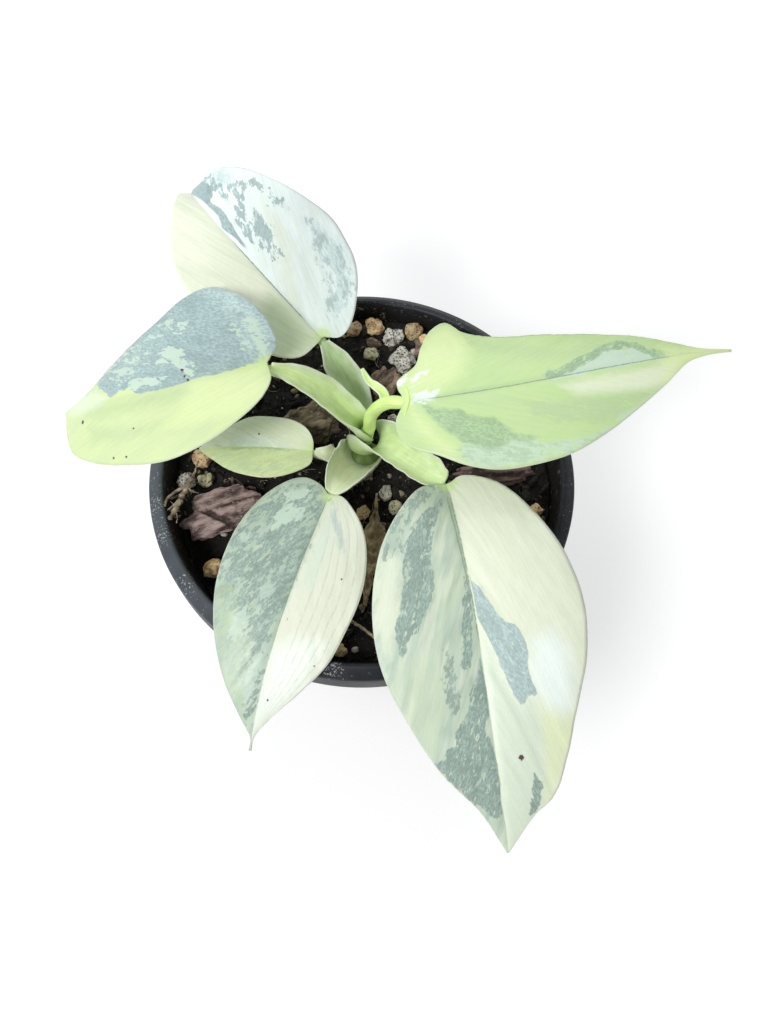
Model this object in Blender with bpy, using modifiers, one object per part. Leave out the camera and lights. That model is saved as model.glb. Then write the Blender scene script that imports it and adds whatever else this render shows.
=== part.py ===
"""A small potted variegated philodendron: a plastic nursery pot of chunky mix and a plant of six leaves.

Metres, +Z up. The origin is the centre of the pot's underside, and +Y points towards the back of the plant.
A leaf is one piece with its stalk and sheath. Everything that touches keeps a gap of GAP to its neighbour.
"""

import math
from dataclasses import dataclass

import bmesh
import bpy
import numpy as np
from mathutils import Matrix, Vector, noise

GAP = 0.0003

POT_HEIGHT = 0.085
RIM_RADIUS = 0.055
RIM_DEPTH = 0.0098
LIP_WIDTH = 0.0040
LIP_SLOPE = 0.0022
POT_WALL = 0.0013
POT_BASE_RADIUS = 0.0368
POT_BASE_THICKNESS = 0.0015
RIM_BOTTOM = POT_HEIGHT - RIM_DEPTH
WALL_TOP_RADIUS = RIM_RADIUS - 0.0034
POT_STEPS = 60
DRAIN_HOLES = 8
DRAIN_RADIUS = 0.0035
DRAIN_RING = 0.0265
DRAIN_SIDES = 16

SOIL_LEVEL = 0.0752
SOIL_BANK = 0.0042
SOIL_BANK_REACH = 0.048
SOIL_RINGS = 10
SOIL_SECTORS = 44
SOIL_LUMP = 0.0008
SOIL_LUMP_SIZE = 0.0055

# Swells of the soil: height, centre and half-widths.
SOIL_SWELLS = (
    (-0.0040, (-0.041, -0.021), (0.010, 0.011)),
    (0.0010, (-0.0005, 0.004), (0.009, 0.009)),
    (0.0012, (0.046, 0.0), (0.008, 0.014)),
)

STEM_FOOT = Vector((-0.0008, 0.0072, 0.0655))
STEM_TOP = Vector((0.0004, 0.0082, 0.0832))
STEM_RADIUS = 0.0026
STEM_RINGS = 4
STEM_STEPS = 20
STEM_TAPER = 0.14

BLADE_THICKNESS = 0.0007
SHEATH_THICKNESS = 0.0007
SHEATH_ROWS = 9
SHEATH_COLUMNS = 3
TIP_HALF_WIDTH = 0.00035
MIDRIB_STEPS = 80
MIDRIB_TIP_RADIUS = 0.0003
MIDRIB_END = 0.9
STALK_END = 0.94
STALK_FOOT = 0.55
RIB_ROWS = 9

PARTS = "potted_philodendron"
CUTTERS = "cutters"


@dataclass
class Leaf:
    """A leaf. Angles are in degrees, and a triple gives a value at the base, the middle and the tip."""

    name: str
    colour: tuple
    junction: tuple
    length: float
    heading: tuple
    climb: tuple
    left_fold: tuple
    right_fold: tuple
    curl: tuple
    wave: tuple
    left_margin: tuple
    right_margin: tuple
    stalk: tuple
    stalk_radius: float
    faces_out: float
    sheath: tuple
    rows: int
    columns: int


LEAVES = (
    Leaf(
        name="leaf_front_right",
        colour=(0.78, 0.86, 0.62),
        junction=(0.0200, -0.0110, 0.0980),
        length=0.0875,
        heading=(-80, -82, -80),
        climb=(12, -14, -34),
        left_fold=(16, 12, 4),
        right_fold=(14, 12, 4),
        curl=(-26, -22),
        wave=(0.0005, 2.2, 0.1),
        left_margin=((0.0, 0.0008), (-0.0012, 0.0040), (0.0030, 0.0118), (0.0130, 0.0190), (0.0230, 0.0236),
                     (0.0340, 0.0253), (0.0460, 0.0236), (0.0580, 0.0194), (0.0690, 0.0156),
                     (0.0760, 0.0120), (0.0800, 0.0068), (0.0875, TIP_HALF_WIDTH)),
        right_margin=((0.0, 0.0008), (0.0005, 0.0064), (0.0060, 0.0124), (0.0160, 0.0190), (0.0300, 0.0229),
                      (0.0430, 0.0226), (0.0560, 0.0180), (0.0670, 0.0124), (0.0770, 0.0050),
                      (0.0875, TIP_HALF_WIDTH)),
        stalk=((0.0036, 0.0064, 0.0828), (0.0040, 0.0060, 0.0854), (0.0074, 0.0030, 0.0892),
               (0.0114, -0.0022, 0.0926), (0.0160, -0.0074, 0.0955), (0.0200, -0.0110, 0.0974)),
        stalk_radius=0.0013,
        faces_out=322,
        sheath=((0.0, 0.0044, 84, 150), (0.12, 0.0044, 100, 126), (0.25, 0.0046, 100, 88),
                (0.45, 0.0042, 84, 74), (0.86, 0.0038, 90, 68), (0.97, 0.0024, 90, 50)),
        rows=17,
        columns=4,
    ),
    Leaf(
        name="leaf_front_left",
        colour=(0.72, 0.82, 0.68),
        junction=(-0.0081, -0.0110, 0.0920),
        length=0.0625,
        heading=(-108.5, -108.5, -101),
        climb=(14, -12, -34),
        left_fold=(16, 12, 4),
        right_fold=(16, 12, 6),
        curl=(-20, -24),
        wave=(0.0004, 2.1, 0.4),
        left_margin=((0.0, 0.0006), (0.0, 0.0030), (0.0034, 0.0075), (0.0090, 0.0122), (0.0170, 0.0153),
                     (0.0240, 0.0162), (0.0320, 0.0154), (0.0410, 0.0134), (0.0490, 0.0089),
                     (0.0560, 0.0040), (0.0625, 0.0004), (0.0655, TIP_HALF_WIDTH)),
        right_margin=((0.0, 0.0006), (-0.0017, 0.0034), (-0.0017, 0.0076), (0.0020, 0.0116),
                      (0.0080, 0.0152), (0.0150, 0.0174), (0.0230, 0.0179), (0.0320, 0.0170),
                      (0.0410, 0.0141), (0.0500, 0.0092), (0.0570, 0.0042), (0.0625, 0.0004),
                      (0.0655, TIP_HALF_WIDTH)),
        stalk=((-0.0006, 0.0046, 0.0772), (-0.0020, 0.0016, 0.0806), (-0.0038, -0.0024, 0.0842),
               (-0.0056, -0.0060, 0.0878), (-0.0070, -0.0090, 0.0902), (-0.0081, -0.0110, 0.0914)),
        stalk_radius=0.0012,
        faces_out=243,
        sheath=((0.0, 0.0040, 90, 90), (0.12, 0.0052, 96, 98), (0.32, 0.0056, 88, 110),
                (0.65, 0.0050, 84, 92), (0.88, 0.0036, 74, 76), (0.97, 0.0018, 60, 60)),
        rows=14,
        columns=4,
    ),
    Leaf(
        name="leaf_young_right",
        colour=(0.66, 0.85, 0.48),
        junction=(0.0094, 0.0042, 0.1110),
        length=0.0845,
        heading=(-1, 12.4, 19.5),
        climb=(14, 0, -25),
        left_fold=(8, -2, -8),
        right_fold=(2, -2, -4),
        curl=(-34, -14),
        wave=(0.0006, 2.4, 0.2),
        left_margin=((0.0, 0.0008), (-0.0014, 0.0052), (0.0032, 0.0094), (0.0046, 0.0144), (0.0075, 0.0212),
                     (0.0116, 0.0242), (0.0160, 0.0194), (0.0240, 0.0156), (0.0360, 0.0136),
                     (0.0500, 0.0108), (0.0610, 0.0074), (0.0680, 0.0042), (0.0750, 0.0014),
                     (0.0845, TIP_HALF_WIDTH)),
        right_margin=((0.0, 0.0008), (-0.0017, 0.0052), (-0.0010, 0.0086), (0.0020, 0.0122),
                      (0.0070, 0.0144), (0.0130, 0.0176), (0.0190, 0.0194), (0.0270, 0.0197),
                      (0.0350, 0.0188), (0.0430, 0.0158), (0.0520, 0.0114), (0.0610, 0.0067),
                      (0.0690, 0.0022), (0.0750, 0.0009), (0.0845, TIP_HALF_WIDTH)),
        stalk=((0.0009, 0.0084, 0.0838), (0.0012, 0.0080, 0.0885), (0.0017, 0.0070, 0.0940),
               (0.0019, 0.0066, 0.1000), (0.0038, 0.0064, 0.1050), (0.0066, 0.0054, 0.1090),
               (0.0094, 0.0042, 0.1104)),
        stalk_radius=0.0016,
        faces_out=0,
        sheath=(),
        rows=18,
        columns=4,
    ),
    Leaf(
        name="leaf_left",
        colour=(0.70, 0.83, 0.58),
        junction=(-0.0224, 0.0135, 0.1120),
        length=0.0560,
        heading=(199, 188, 160),
        climb=(8, -10, -55),
        left_fold=(28, 2, -18),
        right_fold=(28, 8, -18),
        curl=(-16, -16),
        wave=(0.0004, 2.0, 0.3),
        left_margin=((0.0, 0.0010), (0.0011, 0.0063), (0.0050, 0.0115), (0.0110, 0.0150), (0.0190, 0.0178),
                     (0.0260, 0.0187), (0.0350, 0.0169), (0.0440, 0.0143), (0.0500, 0.0112),
                     (0.0535, 0.0054), (0.0560, TIP_HALF_WIDTH)),
        right_margin=((0.0, 0.0007), (-0.0032, 0.0044), (-0.0028, 0.0094), (-0.0006, 0.0144),
                      (0.0035, 0.0188), (0.0085, 0.0218), (0.0150, 0.0213), (0.0250, 0.0166),
                      (0.0360, 0.0126), (0.0460, 0.0084), (0.0520, 0.0042), (0.0560, TIP_HALF_WIDTH)),
        stalk=((-0.0010, 0.0088, 0.0884), (-0.0024, 0.0091, 0.0922), (-0.0072, 0.0110, 0.0985),
               (-0.0146, 0.0128, 0.1062), (-0.0224, 0.0135, 0.1114)),
        stalk_radius=0.0013,
        faces_out=158,
        sheath=((0.0, 0.0028, 140, 100), (0.14, 0.0031, 112, 92), (0.30, 0.0044, 80, 64),
                (0.5, 0.0046, 74, 62), (0.8, 0.0032, 66, 60), (0.98, 0.0015, 50, 50)),
        rows=14,
        columns=4,
    ),
    Leaf(
        name="leaf_back_left",
        colour=(0.82, 0.88, 0.72),
        junction=(-0.0104, 0.0299, 0.0990),
        length=0.0662,
        heading=(144, 133, 96),
        climb=(30, 14, -80),
        left_fold=(20, 16, 24),
        right_fold=(22, 18, 50),
        curl=(-16, -16),
        wave=(0.0004, 2.0, 0.0),
        left_margin=((0.0, 0.0016), (0.0013, 0.0096), (0.0056, 0.0141), (0.0110, 0.0167), (0.0208, 0.0188),
                     (0.0288, 0.0186), (0.0335, 0.0171), (0.0392, 0.0130), (0.0450, 0.0084),
                     (0.0540, 0.0036), (0.0662, TIP_HALF_WIDTH)),
        right_margin=((0.0, 0.0006), (-0.0031, 0.0035), (-0.0029, 0.0075), (0.0019, 0.0153),
                      (0.0073, 0.0202), (0.0132, 0.0225), (0.0203, 0.0238), (0.0306, 0.0210),
                      (0.0389, 0.0174), (0.0466, 0.0135), (0.0537, 0.0087), (0.0600, 0.0045),
                      (0.0662, TIP_HALF_WIDTH)),
        stalk=((0.0003, 0.0117, 0.0792), (-0.0003, 0.0150, 0.0842), (-0.0032, 0.0212, 0.0902),
               (-0.0072, 0.0262, 0.0948), (-0.0104, 0.0299, 0.0984)),
        stalk_radius=0.0013,
        faces_out=112,
        sheath=((0.0, 0.0034, 36, 30), (0.25, 0.0048, 48, 42), (0.5, 0.0058, 54, 48), (0.8, 0.0044, 54, 50),
                (0.97, 0.0016, 50, 50)),
        rows=15,
        columns=4,
    ),
    Leaf(
        name="leaf_small_left",
        colour=(0.76, 0.84, 0.60),
        junction=(-0.0128, 0.0041, 0.0860),
        length=0.0298,
        heading=(175, 178.5, 176),
        climb=(8, -2, -15),
        left_fold=(18, 14, 6),
        right_fold=(18, 14, 6),
        curl=(-14, -14),
        wave=(0.0002, 1.8, 0.2),
        left_margin=((0.0, 0.0008), (0.0002, 0.0041), (0.0018, 0.0060), (0.0066, 0.0084), (0.0130, 0.0092),
                     (0.0205, 0.0070), (0.0260, 0.0032), (0.0298, TIP_HALF_WIDTH)),
        right_margin=((0.0, 0.0008), (0.0004, 0.0029), (0.0020, 0.0055), (0.0055, 0.0076), (0.0110, 0.0085),
                      (0.0170, 0.0081), (0.0215, 0.0061), (0.0265, 0.0029), (0.0298, TIP_HALF_WIDTH)),
        stalk=((-0.0053, 0.0052, 0.0776), (-0.0074, 0.0047, 0.0803), (-0.0098, 0.0041, 0.0836),
               (-0.0128, 0.0041, 0.0856)),
        stalk_radius=0.0010,
        faces_out=182,
        sheath=((0.0, 0.0034, 14, 14), (0.3, 0.0034, 46, 46), (0.6, 0.0032, 66, 62),
                (0.95, 0.0013, 50, 50)),
        rows=10,
        columns=3,
    ),
)

# The sheath tip that curls free of the young leaf's stalk: its middle line and its width at each point.
SHEATH_TIP_PATH = ((0.0054, 0.0062, 0.1062), (0.0048, 0.0086, 0.1074), (0.0030, 0.0106, 0.1074),
                   (0.0015, 0.0124, 0.1066), (-0.0002, 0.0154, 0.1076))
SHEATH_TIP_HALF_WIDTHS = (0.0013, 0.0012, 0.0011, 0.0008, 0.0004)
SHEATH_TIP_FACES = (0.3, -0.3, 1.0)
SHEATH_TIP_BOWL = 0.4


@dataclass
class Lump:
    """A loose piece on the soil: its place on the soil, its length, width and height, and how rough it is."""

    name: str
    colour: tuple
    place: tuple
    size: tuple
    turn: float
    seed: int
    roughness: float = 0.16
    sunk: float = 0.35
    tilt: tuple = (0, 0)
    detail: int = 2
    ridges: float = 0.0


WHITE = (0.72, 0.69, 0.66)
TAN = (0.66, 0.43, 0.22)
OLIVE = (0.45, 0.42, 0.26)
BARK = (0.24, 0.15, 0.13)
DARK_BARK = (0.10, 0.07, 0.06)

LUMPS = (
    Lump("pumice_white_big", WHITE, (0.0112, 0.0366), (0.0072, 0.0062, 0.0056), 100, 1, 0.20),
    Lump("pumice_white_back", WHITE, (0.0085, 0.0434), (0.0058, 0.0048, 0.0046), 30, 2, 0.20),
    Lump("pumice_white_left", WHITE, (-0.0468, 0.0), (0.0048, 0.0044, 0.0042), 10, 3, 0.18),
    Lump("pumice_white_small", WHITE, (0.0083, 0.0189), (0.0034, 0.0030, 0.0030), 0, 4),
    Lump("pumice_white_stem", WHITE, (0.0062, -0.0030), (0.0040, 0.0032, 0.0032), 70, 5, 0.22),
    Lump("pumice_tan_back", TAN, (0.0032, 0.0468), (0.0054, 0.0048, 0.0046), 0, 6),
    Lump("pumice_tan_back_left", TAN, (-0.0026, 0.0458), (0.0046, 0.0040, 0.0040), 40, 7),
    Lump("pumice_tan_back_right", TAN, (0.0176, 0.0430), (0.0036, 0.0032, 0.0032), 0, 8),
    Lump("pumice_tan_left", TAN, (-0.0428, 0.0074), (0.0060, 0.0054, 0.0048), 20, 9),
    Lump("pumice_tan_front_left", TAN, (-0.0386, -0.0232), (0.0052, 0.0046, 0.0044), 50, 10, sunk=0.25),
    Lump("pumice_tan_front", TAN, (-0.0058, -0.0456), (0.0034, 0.0030, 0.0028), 0, 11),
    Lump("pumice_tan_right", TAN, (0.0452, -0.0088), (0.0040, 0.0034, 0.0034), 0, 12),
    Lump("pumice_tan_stem", TAN, (0.0, -0.0088), (0.0042, 0.0030, 0.0032), 75, 13),
    Lump("pumice_olive_back", OLIVE, (0.0146, 0.0452), (0.0048, 0.0044, 0.0042), 15, 14, 0.20),
    Lump("pumice_olive_mid", OLIVE, (0.0023, 0.0386), (0.0038, 0.0036, 0.0034), 0, 15),
    Lump("pumice_olive_left", OLIVE, (-0.0418, 0.0008), (0.0046, 0.0036, 0.0034), 25, 16),
    Lump("pumice_olive_front", OLIVE, (0.0086, -0.0072), (0.0038, 0.0036, 0.0032), 0, 17),
    Lump("bark_ridged", BARK, (-0.0372, -0.0088), (0.0190, 0.0120, 0.0062), 20, 18, 0.14, 0.30, (6, -8), 3,
         ridges=0.10),
    Lump("bark_corner", BARK, (0.0066, 0.0300), (0.0088, 0.0078, 0.0048), 60, 19, 0.24, tilt=(10, 0),
         ridges=0.08),
    Lump("bark_dark", DARK_BARK, (0.0356, 0.0022), (0.0200, 0.0066, 0.0048), 4, 20, sunk=0.40, tilt=(0, 4),
         ridges=0.10),
    Lump("bark_long", BARK, (0.0030, 0.0420), (0.0044, 0.0026, 0.0024), -24, 21, 0.14, 0.40),
    Lump("bark_lump", BARK, (-0.0138, 0.0176), (0.0142, 0.0124, 0.0084), 25, 22, 0.18, tilt=(0, 6),
         ridges=0.05),
    Lump("bark_crumb", DARK_BARK, (0.0160, 0.0395), (0.0040, 0.0032, 0.0030), 40, 23, 0.20),
    Lump("bark_crumb_front", DARK_BARK, (0.0040, -0.0128), (0.0042, 0.0030, 0.0030), 10, 24, 0.22),
)


@dataclass
class Strand:
    """A twig or straw that lies on the soil, as a smooth line through hand-placed points."""

    name: str
    colour: tuple
    path: tuple
    radius: float


STRANDS = (
    Strand("twig_root", (0.36, 0.29, 0.18), ((-0.0430, 0.0036, 0.0812), (-0.0446, -0.0028, 0.0818),
           (-0.0464, -0.0072, 0.0826), (-0.0474, -0.0112, 0.0836), (-0.0484, -0.0142, 0.0846)), 0.0007),
    Strand("twig_thin", (0.16, 0.12, 0.10), ((-0.0440, -0.0044, 0.0802), (-0.0472, -0.0062, 0.0812),
           (-0.0496, -0.0084, 0.0838)), 0.0004),
    Strand("straw", (0.50, 0.42, 0.28), ((-0.0030, -0.0384, 0.0764), (0.0, -0.0404, 0.0766),
           (0.0034, -0.0432, 0.0766)), 0.0004),
)

DRIED_LEAF_PATH = ((0.0036, -0.0052, 0.0800), (0.0032, -0.0100, 0.0788), (0.0022, -0.0180, 0.0780),
                   (0.0012, -0.0262, 0.0778), (0.0004, -0.0350, 0.0772))
DRIED_LEAF_SECTIONS = ((0.0, 0.0020, 40, 40), (0.25, 0.0030, 60, 60), (0.5, 0.0036, 74, 74),
                       (0.75, 0.0030, 66, 66), (1.0, 0.0016, 40, 40))


def clear_scene():
    for obj in list(bpy.data.objects):
        bpy.data.objects.remove(obj)
    for name in (PARTS, CUTTERS):
        bpy.context.scene.collection.children.link(bpy.data.collections.new(name))


def finish_material(name, colour, roughness):
    material = bpy.data.materials.new(name)
    material.use_nodes = True
    shader = material.node_tree.nodes["Principled BSDF"]
    shader.inputs["Base Color"].default_value = (*colour, 1.0)
    shader.inputs["Roughness"].default_value = roughness
    shader.inputs["Metallic"].default_value = 0.0
    return material


def paint(obj, colour, roughness):
    """Gives the piece its one material, which takes the piece's name."""
    obj.data.materials.clear()
    obj.data.materials.append(finish_material(obj.name, colour, roughness))


def mesh_object(name, mesh, collection=PARTS):
    obj = bpy.data.objects.new(name, mesh)
    bpy.data.collections[collection].objects.link(obj)
    return obj


def bmesh_object(name, shape, collection=PARTS):
    mesh = bpy.data.meshes.new(name)
    shape.to_mesh(mesh)
    shape.free()
    return mesh_object(name, mesh, collection)


def as_cutter(obj):
    obj.hide_render = True
    obj.display_type = "WIRE"
    return obj


def plain_mesh(obj):
    """The object's evaluated mesh, with loose caps welded, in world space."""
    graph = bpy.context.evaluated_depsgraph_get()
    graph.update()
    mesh = bpy.data.meshes.new_from_object(obj.evaluated_get(graph))
    shape = bmesh.new()
    shape.from_mesh(mesh)
    shape.transform(obj.matrix_world)
    bmesh.ops.remove_doubles(shape, verts=shape.verts, dist=1e-6)
    shape.to_mesh(mesh)
    shape.free()
    return mesh


def made_plain(obj):
    """The same piece as a plain mesh object, with its modifiers applied."""
    name = obj.name
    collection = obj.users_collection[0].name
    mesh = plain_mesh(obj)
    bpy.data.objects.remove(obj)
    mesh.name = name
    return mesh_object(name, mesh, collection)


def booled(base, tools, operation):
    """The base joined to the tools, or cut by them, as one plain mesh. The tools are removed."""
    group = bpy.data.collections.new(base.name + "_tools")
    for tool in tools:
        group.objects.link(tool)
    modifier = base.modifiers.new(operation.lower(), "BOOLEAN")
    modifier.operation = operation
    modifier.operand_type = "COLLECTION"
    modifier.collection = group
    modifier.solver = "MANIFOLD"
    result = made_plain(base)
    for tool in tools:
        bpy.data.objects.remove(tool)
    bpy.data.collections.remove(group)
    return result


def turned(name, profile, steps, collection=PARTS):
    """A closed profile of (radius, height) points turned about Z. It runs down its outer side first."""
    shape = bmesh.new()
    corners = [shape.verts.new((radius, 0.0, height)) for radius, height in profile]
    for first, second in zip(corners, corners[1:]):
        shape.edges.new((first, second))
    if profile[0] != profile[-1] and profile[0][0] > 0.0:
        shape.edges.new((corners[-1], corners[0]))
    obj = bmesh_object(name, shape, collection)
    screw = obj.modifiers.new("turn", "SCREW")
    screw.steps = steps
    screw.render_steps = steps
    screw.use_merge_vertices = True
    screw.merge_threshold = 0.00001
    return obj


def smooth_line(points, shares):
    """Points at the given shares of a smooth curve through the given points."""
    points = np.array(points, float)
    knots = np.concatenate([[0.0], np.cumsum(np.sqrt(np.linalg.norm(np.diff(points, axis=0), axis=1)))])
    slopes = np.gradient(points, knots, axis=0)
    steps = np.linspace(0.0, knots[-1], 40 * len(points))
    which = np.clip(np.searchsorted(knots, steps, side="right") - 1, 0, len(knots) - 2)
    width = (knots[which + 1] - knots[which])[:, None]
    t = ((steps - knots[which])[:, None]) / width
    start = (1 + 2 * t) * (1 - t) ** 2 * points[which] + t * (1 - t) ** 2 * width * slopes[which]
    end = t * t * (3 - 2 * t) * points[which + 1] + t * t * (t - 1) * width * slopes[which + 1]
    curve = start + end
    reach = np.concatenate([[0.0], np.cumsum(np.linalg.norm(np.diff(curve, axis=0), axis=1))])
    wanted = np.asarray(shares, float) * reach[-1]
    return np.stack([np.interp(wanted, reach, curve[:, axis]) for axis in range(curve.shape[1])], axis=1)


def unit(vectors):
    return vectors / np.linalg.norm(vectors, axis=-1, keepdims=True)


def tube(name, points, radii, sides_level=1, collection=PARTS):
    """A round tube along the points, with a radius at each and filled ends."""
    data = bpy.data.curves.new(name, "CURVE")
    data.dimensions = "3D"
    data.bevel_depth = 1.0
    data.bevel_resolution = sides_level
    data.use_fill_caps = True
    spline = data.splines.new("POLY")
    spline.points.add(len(points) - 1)
    for knot, point, radius in zip(spline.points, points, radii):
        knot.co = (*point, 1.0)
        knot.radius = radius
    obj = bpy.data.objects.new(name, data)
    bpy.data.collections[collection].objects.link(obj)
    return made_plain(obj)


def sheet(name, rows, thickness, collection=PARTS):
    """A thin body of even thickness on a grid of points, split into triangles alike on both faces."""
    shape = bmesh.new()
    grid = [[shape.verts.new(point) for point in row] for row in rows]
    for near, far in zip(grid, grid[1:]):
        for corner in range(len(near) - 1):
            shape.faces.new((near[corner], near[corner + 1], far[corner + 1], far[corner]))
    bmesh.ops.triangulate(shape, faces=shape.faces)
    obj = bmesh_object(name, shape, collection)
    wall = obj.modifiers.new("thickness", "SOLIDIFY")
    wall.thickness = thickness
    wall.offset = 0.0
    return made_plain(obj)


def between(triple, share):
    """The parabola through a triple's values at shares 0, a half and 1."""
    base, middle, tip = triple
    ends = base * (1 - share) * (1 - 2 * share) + tip * share * (2 * share - 1)
    return ends + middle * 4 * share * (1 - share)


def midrib_line(leaf):
    shares = (np.arange(MIDRIB_STEPS) + 0.5) / MIDRIB_STEPS
    heading = np.radians(between(leaf.heading, shares))
    climb = np.radians(between(leaf.climb, shares))
    level = np.cos(climb)
    steps = np.stack([level * np.cos(heading), level * np.sin(heading), np.sin(climb)], axis=1)
    places = np.concatenate([np.zeros((1, 3)), np.cumsum(steps, axis=0)]) * leaf.length / MIDRIB_STEPS
    return places + np.array(leaf.junction)


def blade_points(leaf, along, across):
    """Points of the blade's middle surface. across is positive on the leaf's left."""
    share = np.clip(along / leaf.length, 0.0, 1.0)
    heading = np.radians(between(leaf.heading, share))
    climb = np.radians(between(leaf.climb, share))
    level = np.cos(climb)
    ahead = np.stack([level * np.cos(heading), level * np.sin(heading), np.sin(climb)], axis=-1)
    side = np.stack([-np.sin(heading), np.cos(heading), np.zeros_like(heading)], axis=-1)
    above = np.cross(ahead, side)
    line = midrib_line(leaf)
    marks = np.linspace(0.0, 1.0, MIDRIB_STEPS + 1)
    rib = np.stack([np.interp(share, marks, line[:, axis]) for axis in range(3)], axis=-1)
    rib = rib + ahead * (along - np.clip(along, 0.0, leaf.length))[..., None]
    left = across > 0.0
    out = np.abs(across)
    widest = max(width for _, width in leaf.left_margin + leaf.right_margin)
    fold = np.where(left, between(leaf.left_fold, share), between(leaf.right_fold, share))
    curl = np.where(left, leaf.curl[0], leaf.curl[1])
    rise = np.radians(fold + curl * out / (2 * widest))
    wave_height, waves, start = leaf.wave
    lift = out * np.sin(rise)
    lift = lift + wave_height * (out / widest) ** 2 * np.sin(2 * np.pi * (waves * share + start))
    return rib + side * (across * np.cos(rise))[..., None] + above * lift[..., None]


def blade(leaf):
    """The blade, whose rows fan out from the junction to the margin and close at the tip."""
    shares = np.linspace(0.0, 1.0, leaf.rows + 1)
    left = smooth_line(leaf.left_margin, shares)
    right = smooth_line(leaf.right_margin, shares)
    tip = leaf.left_margin[-1][0]
    rows = []
    for share, left_end, right_end in zip(shares, left, right):
        rib = tip * share
        part = np.linspace(-1.0, 1.0, 2 * leaf.columns + 1)
        reach = np.abs(part)
        along = np.where(part > 0.0, left_end[0], right_end[0]) * reach + rib * (1 - reach)
        across = np.where(part > 0.0, left_end[1] * reach, -right_end[1] * reach)
        rows.append(blade_points(leaf, along, across))
    return sheet(leaf.name + "_blade", rows, BLADE_THICKNESS)


def channel_rows(path, sections, inner_side, steps, columns):
    """Rows of an open channel whose back follows the path.

    A section is a share of the path, a radius, and the angles to the left and right edge.
    """
    shares = np.linspace(0.0, sections[-1][0], steps + 1)
    middle = smooth_line(path, shares)
    ahead = unit(np.gradient(middle, axis=0))
    normal = np.array(inner_side, float) - ahead * (ahead @ np.array(inner_side, float))[:, None]
    normal = unit(normal)
    side = np.cross(normal, ahead)
    marks = [section[0] for section in sections]
    radius = np.interp(shares, marks, [section[1] for section in sections])
    left = np.radians(np.interp(shares, marks, [section[2] for section in sections]))
    right = np.radians(np.interp(shares, marks, [section[3] for section in sections]))
    rows = []
    for row in range(steps + 1):
        angle = np.linspace(-right[row], left[row], 2 * columns + 1)[:, None]
        back = radius[row] * (1 - np.cos(angle))
        rows.append(middle[row] + normal[row] * back + side[row] * radius[row] * np.sin(angle))
    return rows


def inner_side(leaf):
    """The way the open side of the sheath faces: back towards the stem, and up."""
    facing = math.radians(leaf.faces_out)
    return (-math.cos(facing), -math.sin(facing), 1.0)


def stalk_and_midrib(leaf):
    """One tapering rib: up the back of the sheath, and on under the blade almost to its tip."""
    shares = np.linspace(0.0, STALK_END, RIB_ROWS - 1)
    stalk = smooth_line(leaf.stalk, shares)
    foot = STALK_FOOT if leaf.sheath else 1.0
    stalk_radii = leaf.stalk_radius * np.interp(shares, (0.0, 0.3), (foot, 1.0))
    if leaf.sheath:
        ahead = unit(np.gradient(stalk, axis=0))
        inner = np.array(inner_side(leaf))
        normal = unit(inner - ahead * (ahead @ inner)[:, None])
        stalk = stalk - normal * 0.75 * stalk_radii[:, None]
    shares = np.linspace(0.03, MIDRIB_END, RIB_ROWS)
    rib = blade_points(leaf, leaf.length * shares, np.zeros(len(shares)))
    radii = np.interp(shares, (0.0, 1.0), (leaf.stalk_radius * 0.8, MIDRIB_TIP_RADIUS))
    rib[:, 2] -= 0.6 * radii
    return tube(leaf.name + "_rib", np.concatenate([stalk, rib]), np.concatenate([stalk_radii, radii]))


def sheath_tip():
    """The strap of sheath that curls free behind the young leaf's stalk."""
    shares = np.linspace(0.0, 1.0, SHEATH_ROWS)
    middle = smooth_line(SHEATH_TIP_PATH, shares)
    half_width = np.interp(shares, np.linspace(0.0, 1.0, len(SHEATH_TIP_HALF_WIDTHS)), SHEATH_TIP_HALF_WIDTHS)
    ahead = unit(np.gradient(middle, axis=0))
    side = unit(np.cross(ahead, SHEATH_TIP_FACES))
    lift = np.cross(side, ahead)
    rows = []
    for row in range(len(shares)):
        across = np.linspace(-1.0, 1.0, 5)[:, None]
        bowl = SHEATH_TIP_BOWL * across**2
        rows.append(middle[row] + half_width[row] * (across * side[row] + bowl * lift[row]))
    return sheet("sheath_tip", rows, SHEATH_THICKNESS)


def make_leaf(leaf):
    body = blade(leaf)
    others = [stalk_and_midrib(leaf)]
    if leaf.sheath:
        rows = channel_rows(leaf.stalk, leaf.sheath, inner_side(leaf), SHEATH_ROWS, SHEATH_COLUMNS)
        others.append(sheet(leaf.name + "_sheath", rows, SHEATH_THICKNESS))
    else:
        others.append(sheath_tip())
    whole = booled(body, others, "UNION")
    whole.name = leaf.name
    paint(whole, leaf.colour, 0.42)


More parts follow.
